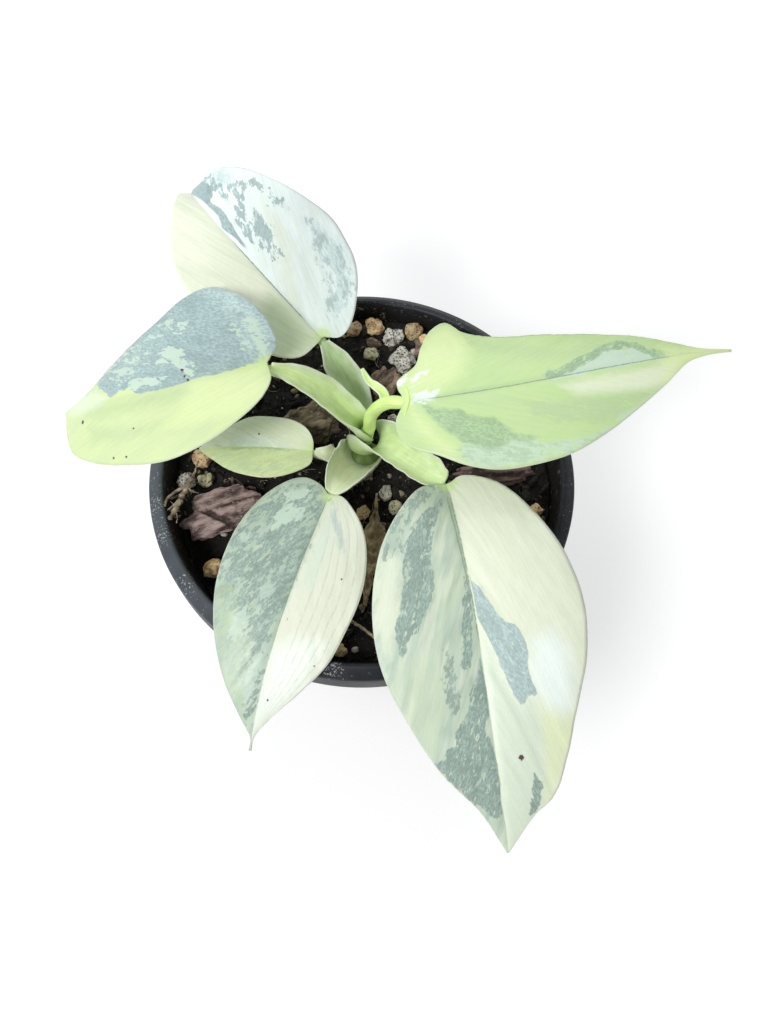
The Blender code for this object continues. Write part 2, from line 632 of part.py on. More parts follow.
def make_pot():
    lip_inner = RIM_RADIUS - LIP_WIDTH
    profile = (
        (lip_inner + 0.0010, POT_HEIGHT),
        (RIM_RADIUS - 0.0006, POT_HEIGHT - LIP_SLOPE + 0.0005),
        (RIM_RADIUS, POT_HEIGHT - LIP_SLOPE),
        (RIM_RADIUS + 0.0001, POT_HEIGHT - LIP_SLOPE - 0.0010),
        (RIM_RADIUS, RIM_BOTTOM),
        (WALL_TOP_RADIUS, RIM_BOTTOM - 0.0002),
        (POT_BASE_RADIUS + 0.0002, 0.0012),
        (POT_BASE_RADIUS - 0.0010, 0.0),
        (0.0, 0.0), (0.0, POT_BASE_THICKNESS),
        (POT_BASE_RADIUS - POT_WALL - 0.0010, POT_BASE_THICKNESS),
        (POT_BASE_RADIUS - POT_WALL, POT_BASE_THICKNESS + 0.0010),
        (WALL_TOP_RADIUS - POT_WALL, RIM_BOTTOM),
        (lip_inner - 0.0002, POT_HEIGHT - 0.0042),
        (lip_inner, POT_HEIGHT - 0.0010),
        (lip_inner + 0.0003, POT_HEIGHT - 0.0003),
    )
    pot = turned("pot", profile, POT_STEPS)
    pot = made_plain(pot)
    holes = []
    for number in range(DRAIN_HOLES):
        angle = 2 * math.pi * number / DRAIN_HOLES
        bore = bmesh.new()
        place = Matrix.Translation((DRAIN_RING * math.cos(angle), DRAIN_RING * math.sin(angle), 0.0))
        bmesh.ops.create_cone(bore, cap_ends=True, segments=DRAIN_SIDES, radius1=DRAIN_RADIUS,
                              radius2=DRAIN_RADIUS, depth=4 * POT_BASE_THICKNESS, matrix=place)
        holes.append(as_cutter(bmesh_object(f"drain_{number}", bore, CUTTERS)))
    pot = booled(pot, holes, "DIFFERENCE")
    paint(pot, (0.035, 0.04, 0.045), 0.45)
    pot.data.shade_smooth()


def inner_radius(height):
    """The pot's inner radius at a height. Inside the rim it is taken as even."""
    bottom = POT_BASE_RADIUS - POT_WALL
    share = (min(height, RIM_BOTTOM) - POT_BASE_THICKNESS) / (RIM_BOTTOM - POT_BASE_THICKNESS)
    return bottom + (WALL_TOP_RADIUS - POT_WALL - bottom) * share


def soil_height(x, y):
    """The height of the soil: banked up at the back, hollow at the front left, lumpy all over."""
    total = SOIL_LEVEL + SOIL_BANK * (max(y, 0.0) / SOIL_BANK_REACH) ** 2
    for height, (middle_x, middle_y), (half_x, half_y) in SOIL_SWELLS:
        total += height * math.exp(-(((x - middle_x) / half_x) ** 2 + ((y - middle_y) / half_y) ** 2))
    return total + SOIL_LUMP * noise.noise(Vector((x, y, 0.0)) / SOIL_LUMP_SIZE)


def soil_body():
    """The soil as one solid: a lumpy top, and a side that follows the pot's inner wall."""
    shape = bmesh.new()
    clearance = GAP + 0.0002
    rings = []
    for ring in range(1, SOIL_RINGS + 1):
        row = []
        for sector in range(SOIL_SECTORS):
            angle = 2 * math.pi * (sector + 0.5 * (ring % 2)) / SOIL_SECTORS
            reach = inner_radius(SOIL_LEVEL) * ring / SOIL_RINGS
            height = soil_height(reach * math.cos(angle), reach * math.sin(angle))
            reach = (inner_radius(height) - clearance) * ring / SOIL_RINGS
            row.append(shape.verts.new((reach * math.cos(angle), reach * math.sin(angle), height)))
        rings.append(row)
    foot = []
    bottom = POT_BASE_THICKNESS + 0.0010 + clearance
    for corner in rings[-1]:
        outward = Vector((corner.co.x, corner.co.y, 0.0)).normalized() * (inner_radius(bottom) - clearance)
        foot.append(shape.verts.new((outward.x, outward.y, bottom)))
    rings.append(foot)
    for inner, outer in zip(rings, rings[1:]):
        for sector in range(SOIL_SECTORS):
            after = (sector + 1) % SOIL_SECTORS
            shape.faces.new((inner[sector], outer[sector], outer[after], inner[after]))
    centre = shape.verts.new((0.0, 0.0, soil_height(0.0, 0.0)))
    for sector in range(SOIL_SECTORS):
        shape.faces.new((centre, rings[0][sector], rings[0][(sector + 1) % SOIL_SECTORS]))
    shape.faces.new(list(reversed(foot)))
    bmesh.ops.triangulate(shape, faces=shape.faces)
    bmesh.ops.recalc_face_normals(shape, faces=shape.faces)
    return bmesh_object("soil", shape)


def piece_name(name, swell):
    """A swollen copy is only the cutter for its piece's seat."""
    return name + "_seat" if swell else name


def lump_body(lump, swell=0.0, collection=PARTS):
    """A rough stone or chip. swell pushes its surface out, for the seat that it leaves in the soil."""
    shape = bmesh.new()
    bmesh.ops.create_icosphere(shape, subdivisions=lump.detail, radius=0.5)
    drift = Vector((lump.seed * 7.3, lump.seed * 1.9, lump.seed * 3.1))
    for corner in shape.verts:
        way = corner.co.normalized()
        bump = noise.noise(way * 1.3 + drift) + 0.5 * noise.noise(way * 2.9 + drift)
        ridge = lump.ridges * math.cos(way.y * 9.0 + lump.seed)
        corner.co = way * 0.5 * (1.0 + lump.roughness * bump * 2.0 + ridge)
    bmesh.ops.scale(shape, vec=Vector(lump.size), verts=shape.verts)
    if swell:
        shape.normal_update()
        offsets = [(corner, corner.normal * swell) for corner in shape.verts]
        for corner, offset in offsets:
            corner.co += offset
    x, y = lump.place
    height = soil_height(x, y) + (0.5 - lump.sunk) * lump.size[2]
    turn = Matrix.Rotation(math.radians(lump.turn), 4, "Z")
    tilt_x = Matrix.Rotation(math.radians(lump.tilt[0]), 4, "X")
    tilt_y = Matrix.Rotation(math.radians(lump.tilt[1]), 4, "Y")
    shape.transform(Matrix.Translation((x, y, height)) @ turn @ tilt_x @ tilt_y)
    return bmesh_object(piece_name(lump.name, swell), shape, collection)


def strand_body(strand, swell=0.0, collection=PARTS):
    points = smooth_line(strand.path, np.linspace(0.0, 1.0, 3 * len(strand.path)))
    taper = np.linspace(1.0, 0.7, len(points))
    return tube(piece_name(strand.name, swell), points, strand.radius * taper + swell, 0, collection)


def dried_leaf_body(swell=0.0, collection=PARTS):
    rows = channel_rows(DRIED_LEAF_PATH, DRIED_LEAF_SECTIONS, (0.4, 0.0, 1.0), 12, 3)
    for number, row in enumerate(rows):
        row[:, 2] += 0.0004 * np.sin(1.9 * number + np.arange(len(row)))
    return sheet(piece_name("dried_leaf", swell), rows, SHEATH_THICKNESS + 2 * swell, collection)


def stem_body(swell=0.0, collection=PARTS):
    """The short stem, ringed where old leaves stood. It stands in a plain hole in the soil."""
    length = (STEM_TOP - STEM_FOOT).length
    profile = [(0.0, length + swell), (0.6 * STEM_RADIUS + swell, length + swell)]
    for ring in range(STEM_RINGS):
        height = length * (1.0 - (ring + 0.5) / STEM_RINGS)
        radius = STEM_RADIUS * (1.0 - STEM_TAPER * (STEM_RINGS - ring - 1) / STEM_RINGS)
        profile.append((0.94 * radius + swell, height + 0.06 * length))
        profile.append((radius + swell, height))
    profile.append((0.92 * STEM_RADIUS + swell, -swell))
    profile.append((0.0, -swell))
    obj = turned(piece_name("stem", swell), profile, STEM_STEPS, collection)
    way = (STEM_TOP - STEM_FOOT).normalized()
    lean = Vector((0, 0, 1)).rotation_difference(way)
    obj.matrix_world = Matrix.Translation(STEM_FOOT) @ lean.to_matrix().to_4x4()
    bpy.context.view_layer.update()
    return made_plain(obj)


def make_soil_and_what_lies_on_it():
    seats = [as_cutter(stem_body(GAP, CUTTERS))]
    paint(stem_body(), (0.52, 0.68, 0.28), 0.5)
    for lump in LUMPS:
        seats.append(as_cutter(lump_body(lump, GAP + 0.0001, CUTTERS)))
        paint(lump_body(lump), lump.colour, 0.9)
    for strand in STRANDS:
        seats.append(as_cutter(strand_body(strand, GAP, CUTTERS)))
        paint(strand_body(strand), strand.colour, 0.9)
    seats.append(as_cutter(dried_leaf_body(GAP, CUTTERS)))
    paint(dried_leaf_body(), (0.45, 0.33, 0.2), 0.8)
    soil = booled(soil_body(), seats, "DIFFERENCE")
    paint(soil, (0.03, 0.025, 0.02), 0.95)


def main():
    clear_scene()
    make_pot()
    make_soil_and_what_lies_on_it()
    for leaf in LEAVES:
        make_leaf(leaf)


main()
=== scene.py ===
"""The look of a small potted variegated philodendron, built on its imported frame.

Metres, +Z up. The plant's blades, sheaths, stones and chips are finer forms of the frame's own nodes.
"""

import math
from dataclasses import dataclass

import bmesh
import bpy
import numpy as np
from mathutils import Matrix, Vector, noise


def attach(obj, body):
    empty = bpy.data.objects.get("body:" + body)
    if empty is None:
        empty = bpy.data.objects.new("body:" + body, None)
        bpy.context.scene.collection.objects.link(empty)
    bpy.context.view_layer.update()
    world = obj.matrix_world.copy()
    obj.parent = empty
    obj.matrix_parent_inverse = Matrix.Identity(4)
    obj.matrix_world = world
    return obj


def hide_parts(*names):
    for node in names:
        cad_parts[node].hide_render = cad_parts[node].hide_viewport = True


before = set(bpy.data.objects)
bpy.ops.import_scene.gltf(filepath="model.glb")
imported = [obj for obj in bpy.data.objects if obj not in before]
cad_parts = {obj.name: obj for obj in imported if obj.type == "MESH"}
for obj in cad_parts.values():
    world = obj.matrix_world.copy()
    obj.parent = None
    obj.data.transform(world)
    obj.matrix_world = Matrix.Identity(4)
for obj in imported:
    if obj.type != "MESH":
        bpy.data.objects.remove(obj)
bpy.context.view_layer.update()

bl_info = {
    "name": "Potted philodendron",
    "version": (1, 0, 0),
    "blender": (4, 5, 0),
    "location": "3D View > Sidebar > Philodendron",
    "description": "Builds a small variegated philodendron in a plastic nursery pot",
    "category": "Object",
}

ROOT = "root"

POT_HEIGHT = 0.085
RIM_RADIUS = 0.055
RIM_DEPTH = 0.0098
RIM_BOTTOM = POT_HEIGHT - RIM_DEPTH
LIP_WIDTH = 0.0040
LIP_SLOPE = 0.0022
POT_WALL = 0.0013
POT_BASE_RADIUS = 0.0368
POT_BASE_THICKNESS = 0.0015
WALL_TOP_RADIUS = RIM_RADIUS - 0.0034
DRAIN_HOLES = 8
DRAIN_RADIUS = 0.0035
DRAIN_RING = 0.0265

SOIL_LEVEL = 0.0752
SOIL_LUMP = 0.0008
SOIL_LUMP_SIZE = 0.0055

STEM_FOOT = Vector((-0.0008, 0.0072, 0.0655))
STEM_TOP = Vector((0.0004, 0.0082, 0.0832))
STEM_RADIUS = 0.0026
STEM_RINGS = 4
STEM_SWELL = 0.0024
STEM_SWELL_SHARE = 0.64

TIP_HALF_WIDTH = 0.00035
MIDRIB_STEPS = 80
MIDRIB_TIP_RADIUS = 0.0003


class Mark:
    """Patches of one tone: how soft and how frayed their edges are, how mottled and how strong they are.

    Each outline lists its corners in millimetres: along the midrib, then across it, with the leaf's left positive.
    """

    def __init__(self, tone, softness, fray, mottle, strength, *outlines):
        self.tone, self.softness, self.fray, self.mottle, self.strength = tone, softness, fray, mottle, strength
        self.outlines = [np.reshape(outline, (-1, 2)) for outline in outlines]


@dataclass
class Leaf:
    """A leaf. Angles are in degrees, and a triple gives a value at the base, the middle and the tip.

    A margin lists how far along the midrib and how far off it the edge runs. curl is how the left and the right
    half bend further towards their edges, and wave the height, the number and the start of the waves in them.
    The stalk is a path of points. The sheath's sections give their share of that path, a radius, and how far they
    reach around to the left and the right. faces_out is the heading that its back faces.
    grounds are the tones of the left and right half. ribs are dark lines beside the midrib: how far off they
    are, where they start and end in millimetres, their strength and their width. spots are dark dots: along,
    across, radius. veins gives how far the veins lean towards the tip and how strong they look, and pleats the
    strength of the lines along the pale half.
    """

    name: str
    junction: tuple
    length: float
    heading: tuple
    climb: tuple
    left_fold: tuple
    right_fold: tuple
    curl: tuple
    wave: tuple
    left_margin: tuple
    right_margin: tuple
    stalk: tuple
    stalk_radius: float
    faces_out: float
    sheath: tuple
    grounds: tuple
    sheath_tone: str
    ribs: tuple
    marks: tuple
    spots: tuple = ()
    veins: tuple = (1.35, 0.4)
    pleats: float = 0.0


# Each leaf's marks, from the lowest layer up.
FRONT_RIGHT_MARKS = (
    Mark("cream", 1.6, 0.5, 0, 0.7, (16.3, -18.1, 17.8, -16, 19.9, -14.8, 24, -15.2, 27.9, -16.5, 33.5, -17.9,
         40.8, -20.4, 38.5, -21.7, 32.8, -22.3, 24.6, -21.9)),
    Mark("sage", 2, 0.6, 0, 0.6, (42.3, -17.4, 42, -12.9, 48.3, -12.3, 57, -12.6, 62.3, -14.5, 55.3, -17,
         48.6, -18.5)),
    Mark("mint", 2.2, 0.6, 0, 0.5, (32.6, 0.9, 37.7, 1.6, 41.9, 3.1, 46.7, 4.2, 51.4, 5.6, 54.4, 7.3, 54.3, 10, 59, 11,
         64.2, 11.4, 69.9, 10.9, 76.6, 9.8, 81.3, 5.5, 87.2, 0.6, 81.7, 0.2, 73.7, 0.5, 62.3, 0.2, 55, -0.2, 48.1, 0,
         41.5, 0.3)),
    Mark("yellow", 1.8, 0.3, 0, 0.45, (53.5, 11.2, 54.9, 13.2, 56.5, 15.7, 58.9, 18.9, 63.2, 17.7, 67.4, 15.8,
         72.7, 13.4, 76.8, 11.2, 76.7, 10.2, 70.7, 10.6, 65.5, 11.4, 59, 11)),
    # Painted sheen: a soft whitish patch on the pale half, standing in for the gloss there.
    Mark("frost", 3, 0.3, 0, 0.75, (41.2, 11.8, 39.8, 16.6, 43.6, 19.4, 52.7, 19.6, 58.5, 16.8, 55.7, 12.9, 51.9, 11,
         46.1, 10.4)),
    Mark("moss", 0.35, 1, 0.42, 0.85, (0.7, -1.4, 0.2, -5.5, 2.2, -8.8, 5.3, -11.8, 8.7, -14.5, 12.3, -16.8,
         13.4, -14.8, 11.2, -12.6, 9.1, -10.3, 6.5, -7.4, 3.5, -4.3, 2, -1.8), (18.6, -19.5, 16.2, -18.3, 15.1, -16.4,
         14.2, -13.9, 16.1, -14.5, 16.8, -16.6, 18, -18.5), (41.1, -6.9, 46.1, -6.4, 51.4, -6.4, 53.8, -8.6,
         48.9, -9.6, 43.6, -8.5)),
    Mark("moss", 0.16, 0.34, 0.16, 1, (3.7, -2.2, 5.8, -3.9, 6.5, -5.9, 8.6, -8.6, 11, -10.9, 13.7, -12.7, 16, -13.7,
         18.9, -13.9, 21.1, -15.1, 23.3, -14.8, 25.7, -15.3, 28.4, -16.3, 31.2, -17.2, 33.5, -17.9, 36.8, -18.9,
         38.1, -18.3, 40.1, -18.5, 41.1, -17.5, 39.1, -16.5, 37.1, -16.3, 35.6, -15.1, 35.8, -13.9, 34.4, -12.4,
         31.5, -10.8, 28.7, -9.2, 25.4, -8, 22.3, -7.6, 20.1, -8.2, 16.9, -7.1, 13, -5.8, 8.6, -4, 6.2, -2.6),
         (24.2, -0.8, 26.5, -0.3, 29.8, -0.3, 34.5, -0.6, 38.8, -1.5, 42, -2.3, 44.9, -3.1, 45.1, -4.5, 43.6, -5.1,
         39.6, -4.1, 36.6, -3.8, 30.9, -2.2), (41.9, -0.3, 46.3, -0.3, 50.3, 0, 55, -0.2, 59, -1.3, 62.3, -0.6,
         67.1, 0.2, 71.5, 0.2, 75.1, -0.3, 78.4, -0.1, 79.9, -1.7, 77.9, -3, 75.2, -5, 73, -7.8, 69.6, -10.4,
         67.2, -12.3, 64.6, -13.5, 63.9, -11.2, 62, -10.5, 61, -8.9, 58.7, -8.5, 57.3, -7.1, 55.5, -5.6, 52.6, -4.5,
         49.7, -3.7, 47.6, -1.9), (69.7, 8.1, 72.3, 9.6, 75.4, 8.9, 77.7, 8.4, 79, 6.9, 79.6, 5.7, 76.1, 6.7)),
    Mark("slate", 0.12, 0.14, 0, 0.88, (23.5, 0.5, 25.9, 1.1, 28.5, 2.7, 31.6, 4, 34.4, 5.3, 35.7, 6.3, 36.6, 8.2,
         38.7, 9.5, 41, 10.3, 44.1, 10.3, 46.5, 9.8, 49.6, 10.3, 52.3, 11.2, 53.1, 10.2, 52.4, 9, 54, 8.2, 54.4, 7.1,
         52.9, 6.2, 51.1, 5.6, 48.8, 4.9, 45.9, 3.9, 43, 3.4, 40.1, 2.5, 36.6, 1.3, 33.8, 0.6, 30.8, 0.6, 27.2, 0.6)),
    Mark("ice", 0.3, 1.5, 0.6, 0.5, (25.4, 1.2, 33, 4.4, 38, 8.4, 46, 9, 52, 9.8, 52.4, 7, 46, 4.6, 36, 2)),
)
FRONT_LEFT_MARKS = (
    # Painted sheen: a soft whitish patch on the pale half.
    Mark("frost", 3, 0.4, 0, 0.4, (37, 5.9, 36.4, 11, 41.5, 11.4, 48.1, 8.9, 55.4, 4.4, 61.6, 0.1, 53.4, -1.1,
         46.6, -0.7, 39.8, 0.5)),
    Mark("mint", 2, 0.5, 0, 0.5, (1.6, 0.9, 10.3, 1.7, 18.4, 1.8, 24.8, 1.6, 25.1, 4.9, 17.4, 5.5, 9.7, 4.7)),
    Mark("slate", 0.8, 0.3, 0, 0.62, (2.3, 1.6, 4.7, 3.3, 8.6, 6, 11.6, 7.8, 14.4, 8.8, 13.6, 7.5, 9.7, 4.8,
         5.9, 2.7)),
    Mark("moss", 1.2, 0.6, 0, 0.48, (31.5, -17.1, 31, -15.1, 33.4, -12.2, 38.3, -10.4, 40.9, -6.2, 45.8, -5.3,
         52.4, -5.1, 49, -8.8, 43.6, -12.6, 36.9, -15.7), (16.3, -1.2, 11.2, -0.8, 8.3, 0.4, 14, 0.6, 20.4, 0.4,
         26.4, 0.2, 31.9, 0.2, 29.5, -1.1, 23.2, -0.9)),
    Mark("moss", 0.35, 1.1, 0.4, 1, (0.9, 0.3, -1, -3.5, -0.3, -8, 3.5, -11.8, 7.9, -15.1, 15.1, -17.4, 22.3, -17.9,
         28.5, -17.6, 32.2, -16.7, 33.4, -12.5, 35.4, -11.3, 38.6, -10.4, 39.5, -7.9, 41.5, -5.9, 46, -5.7, 51.6, -4.7,
         47.3, -3.9, 43, -2.8, 38.9, -1, 33.5, -0.2, 28.1, 0.2, 22.6, 0.2, 15.3, 0, 8.5, 0), (42, -2, 42.5, -0.7,
         47.5, -0.3, 52.7, -0.1, 57, -0.4, 60.5, -0.3, 60.1, -1.7, 57.4, -2.6, 53.5, -2.3, 47.3, -2)),
    Mark("moss", 0.2, 1, 0.22, 1, (8.7, -4.6, 10.5, -7, 14.8, -8.2, 18.9, -10.1, 23.2, -11.4, 27, -11.6, 27.6, -9.1,
         25, -6.7, 20.7, -4.4, 16.7, -4.1, 13, -3.7), (23.9, -1.1, 27.1, -2.7, 30.5, -3.8, 33.8, -5.6, 37.5, -5.8,
         41.3, -3.7, 39.3, -1.9, 35, -0.9, 30.2, -0.4, 25.9, 0), (30.6, -12.2, 31.2, -9.8, 34.5, -8.2, 37.3, -9.3,
         35.1, -11.5)),
    Mark("olive", 0.5, 1.6, 0.5, 0.38, (30, -17.5, 30, -11, 37, -9, 41, -5, 47, -4.2, 55, -3.6, 50, -9, 42, -14,
         36, -17)),
    Mark("mint", 0.4, 0.6, 0.12, 0.55, (36.4, -11.1, 34.8, -9.6, 32.8, -9, 35.1, -8.1, 38.3, -8, 41.4, -9.1,
         40.9, -10.6), (42.2, -2.5, 44.7, -3.1, 47.3, -4.1, 51.4, -4.6, 53.7, -3.1, 52.2, -2.3, 48.1, -1.8,
         44.3, -1.3), (29.1, -7.1, 26.8, -5.6, 25.4, -3.6, 29, -4, 30.9, -5.7), (18.4, -16, 16.4, -13.2, 19.1, -13.1,
         20.6, -14.5)),
    Mark("mint", 0.25, 0.7, 0.15, 0.9, (10.6, -10, 7.3, -7.8, 6.2, -4, 9.5, -4.4, 12, -6.8, 14.7, -9.3), (4.9, -9.8,
         2.1, -7.2, 1.4, -4.2, 4.9, -6.2, 6.5, -8.5)),
)
YOUNG_RIGHT_MARKS = (
    Mark("yellow", 3, 0.3, 0, 0.7, (-1.1, 4.6, 2.5, 8.3, 4.4, 13.8, 7.7, 20.1, 12.4, 22.7, 15.9, 17.9, 17.3, 12.1,
         14.4, 5.2, 8.8, 1.3, 2.1, 0.7), (1.7, -1.1, 4.8, -4.9, 9.1, -11, 11.9, -14.2, 10, -15.3, 5.8, -11.8,
         2.1, -6.5)),
    Mark("olive", 1.6, 0.2, 0, 0.55, (16.7, 15.6, 25.2, 12.8, 34.5, 9.5, 41.4, 7, 49.4, 7.3, 53.6, 7.1, 48.8, 5.8,
         40.4, 4, 33.4, 5.1, 24.4, 8.9, 17.5, 13.1)),
    Mark("olive", 1.2, 0.6, 0.1, 0.95, (27.5, -4.9, 35.3, -6.3, 44.1, -6.9, 53.9, -7.2, 58.8, -7.9, 52.9, -10.6,
         45.5, -12.4, 40.1, -13.1, 34, -10.9, 29, -8.4)),
    Mark("mint", 1.2, 0.6, 0.1, 0.8, (12.8, -11.6, 17.2, -12.3, 22.6, -12.2, 28.7, -14.3, 33.1, -15.7, 39.4, -16.2,
         42.7, -15.2, 53, -10.3, 59.7, -6.9, 55, -9.9, 46.7, -14.1, 41.4, -16.5, 35.6, -18.2, 27.7, -18.9, 19.5, -19.5,
         15.1, -18.1, 12.3, -15.2)),
    Mark("cream", 1.6, 0.3, 0, 0.75, (36, -2.2, 45.6, -2, 55.8, -1.8, 66, -1.1, 66.4, -2.8, 61.5, -6.3, 55.9, -7,
         46.7, -6.1, 39, -4.7)),
    Mark("fern", 0.6, 0.32, 0, 0.85, (4.2, -1.1, 6.8, -2.5, 10.2, -3.1, 13.2, -4.6, 17.2, -6.9, 20.4, -7.7, 22.3, -9.9,
         24, -11.8, 26.9, -12.6, 29.2, -14, 26.8, -14.1, 23.1, -13.2, 20.2, -14.2, 17, -13.8, 14, -12.6, 12.4, -11.5,
         10, -9.4, 7.7, -6.9, 5.6, -3.9)),
    Mark("fern", 1.0, 0.8, 0.5, 0.42, (12.4, -11.5, 17.1, -13.5, 21.4, -14.4, 24.9, -13.8, 28.8, -14, 31.1, -15.6,
         35.5, -16.9, 41.6, -15.5, 42.5, -16, 36.8, -17.9, 32.3, -18.6, 25.6, -19, 20.4, -19.3, 15.6, -18,
         12.3, -16.2)),
    Mark("mint", 0.12, 0.3, 0.04, 0.9, (32.3, 0.6, 34.4, 2.1, 36.4, 1.9, 40.2, 3.2, 42.7, 3.7, 46.5, 5.3, 48.9, 6.3,
         52.3, 6.7, 55.8, 6.4, 59, 5.6, 59.4, 4.3, 62.1, 2.4, 68.4, 1, 70.8, 0, 65.3, -0.4, 59, -0.5, 53.7, -0.6,
         46.4, -0.4, 40, -0.7, 35.4, -0.7)),
    Mark("fern", 0.3, 0.3, 0.12, 0.95, (32.3, 0.6, 34.4, 2.1, 36.6, 2, 40.7, 3.5, 46.5, 5.3, 50.1, 6.7, 54.5, 6.7,
         59, 5.6, 59.8, 3.5, 63.3, 2.2, 67.5, 0.9, 71.3, 0.3, 70.8, -0.1, 68.4, -0.2, 65.2, -0.6, 60.8, 0.2, 58.9, 1.8,
         56.8, 3.7, 53.6, 4.4, 49.9, 4.6, 46.7, 3.2, 42.4, 1.4, 38.3, 0.5, 34.8, -0.2)),
    Mark("yellow", 3, 0.3, 0, 0.8, (61, -6, 66, -4, 72, -3, 85, -2, 85, 2, 76, 2.5, 69, 2, 64, 3)),
    # Painted highlights: three white gloss patches by the blade's base.
    Mark("frost", 0.5, 0.7, 0.25, 0.85, (-1.1, 5.8, -0.1, 6.7, 1.0, 7.5, 0.2, 5.0, -1.0, 4.4), (1.8, 4.4, 3.5, 6.8,
         6.8, 7.3, 5.4, 5.2, 3.0, 4.6), (1.4, -1.0, 2.0, 0.8, 5.0, 1.9, 8.5, 1.8, 7.3, -0.1, 4.0, -1.3)),
)
LEFT_MARKS = (
    # Painted shade: olive bands where the blade folds beside the midrib.
    Mark("olive", 2.2, 0.3, 0, 0.6, (42.8, 0.3, 33, 1.3, 24.4, 1.4, 18.7, 1.5, 18.1, 3.6, 25.9, 4.4, 32.9, 4.7, 41, 5,
         44.9, 2.9), (44.1, 5.9, 33.1, 8.2, 26.2, 9.6, 28.6, 11.3, 35.7, 11.2, 43.5, 9.5)),
    Mark("yellow", 2.2, 0.3, 0, 0.7, (18.5, 0.8, 9.2, 0.4, 1.6, 0.7, 2, 7.9, 5.1, 11.6, 9.8, 12.8, 16.9, 11.9,
         23.7, 10.7, 20.7, 6)),
    Mark("frost", 1.5, 0.2, 0, 0.35, (53.2, 0.7, 50.2, -3.7, 43.2, -3.5, 38.9, -0.2, 42.3, 1.4, 48.1, 2)),
    Mark("slate", 0.2, 0.4, 0, 1, (-0.3, -1, 6.6, -0.9, 12.5, -0.4, 17.4, -0.3, 19.3, 0.2, 24.4, 0.7, 28, 0.9,
         31.5, 0.2, 32.8, -2.1, 35.6, -0.9, 38.2, -0.2, 40.2, -2.4, 44, -4.8, 45.5, -7.5, 42, -10.8, 38, -13,
         35, -14.5, 32, -15.5, 28.4, -16.4, 21.6, -19.8, 15.8, -23, 9.6, -24, 3.2, -21.2, -1.6, -16, -4.6, -10.5,
         -5, -4.5, -2.4, -1.8)),
    Mark("ice", 2.6, 0.6, 0.1, 0.6, (10.6, -22, 3.7, -19, -0.6, -14.3, -2.7, -9, -2.9, -4, -0.1, -2.2, 3.1, -4.7,
         4.1, -10.6, 6.7, -16.3)),
    Mark("mint", 0.16, 0.8, 0.18, 1, (18.5, -14.5, 16.2, -14.7, 17, -12.2, 18.4, -12, 19.8, -13.2), (24.5, -8.9,
         22, -9.4, 20.6, -8, 18.9, -7.1, 19.1, -5.5, 17.5, -4.4, 17, -2.4, 18.4, -1.1, 19.4, -2.5, 20.8, -4.3,
         23.3, -5.4, 25.4, -6.6, 23.7, -7.4), (1.7, -11.9, -0.1, -11.3, -0.5, -8.3, -0.7, -4.7, -0.5, -1.7, 1.1, -2.5,
         1.9, -5.6, 2.4, -8.4), (33.4, -3.2, 31.1, -3.6, 27.7, -2.5, 23.8, -1.8, 26, -1, 28.3, -1.1, 30.5, -0.8,
         32.6, -0.8)),
    Mark("mint", 0.2, 1.2, 0.62, 0.9, (30, -12.3, 27.1, -14.2, 23.8, -15.5, 19.6, -16.7, 19.2, -13.3, 22.2, -12,
         25.1, -11.1, 28.2, -10), (44, -8, 39, -12, 33, -14, 28.5, -13, 25.9, -8.3, 29.5, -5.9, 31.7, -4.5, 34.1, -3.3,
         37.7, -3.7), (5.8, -11.2, 3.3, -11.2, 2.5, -7, 1.7, -3, 4.2, -4.1, 5.4, -7.1)),
)
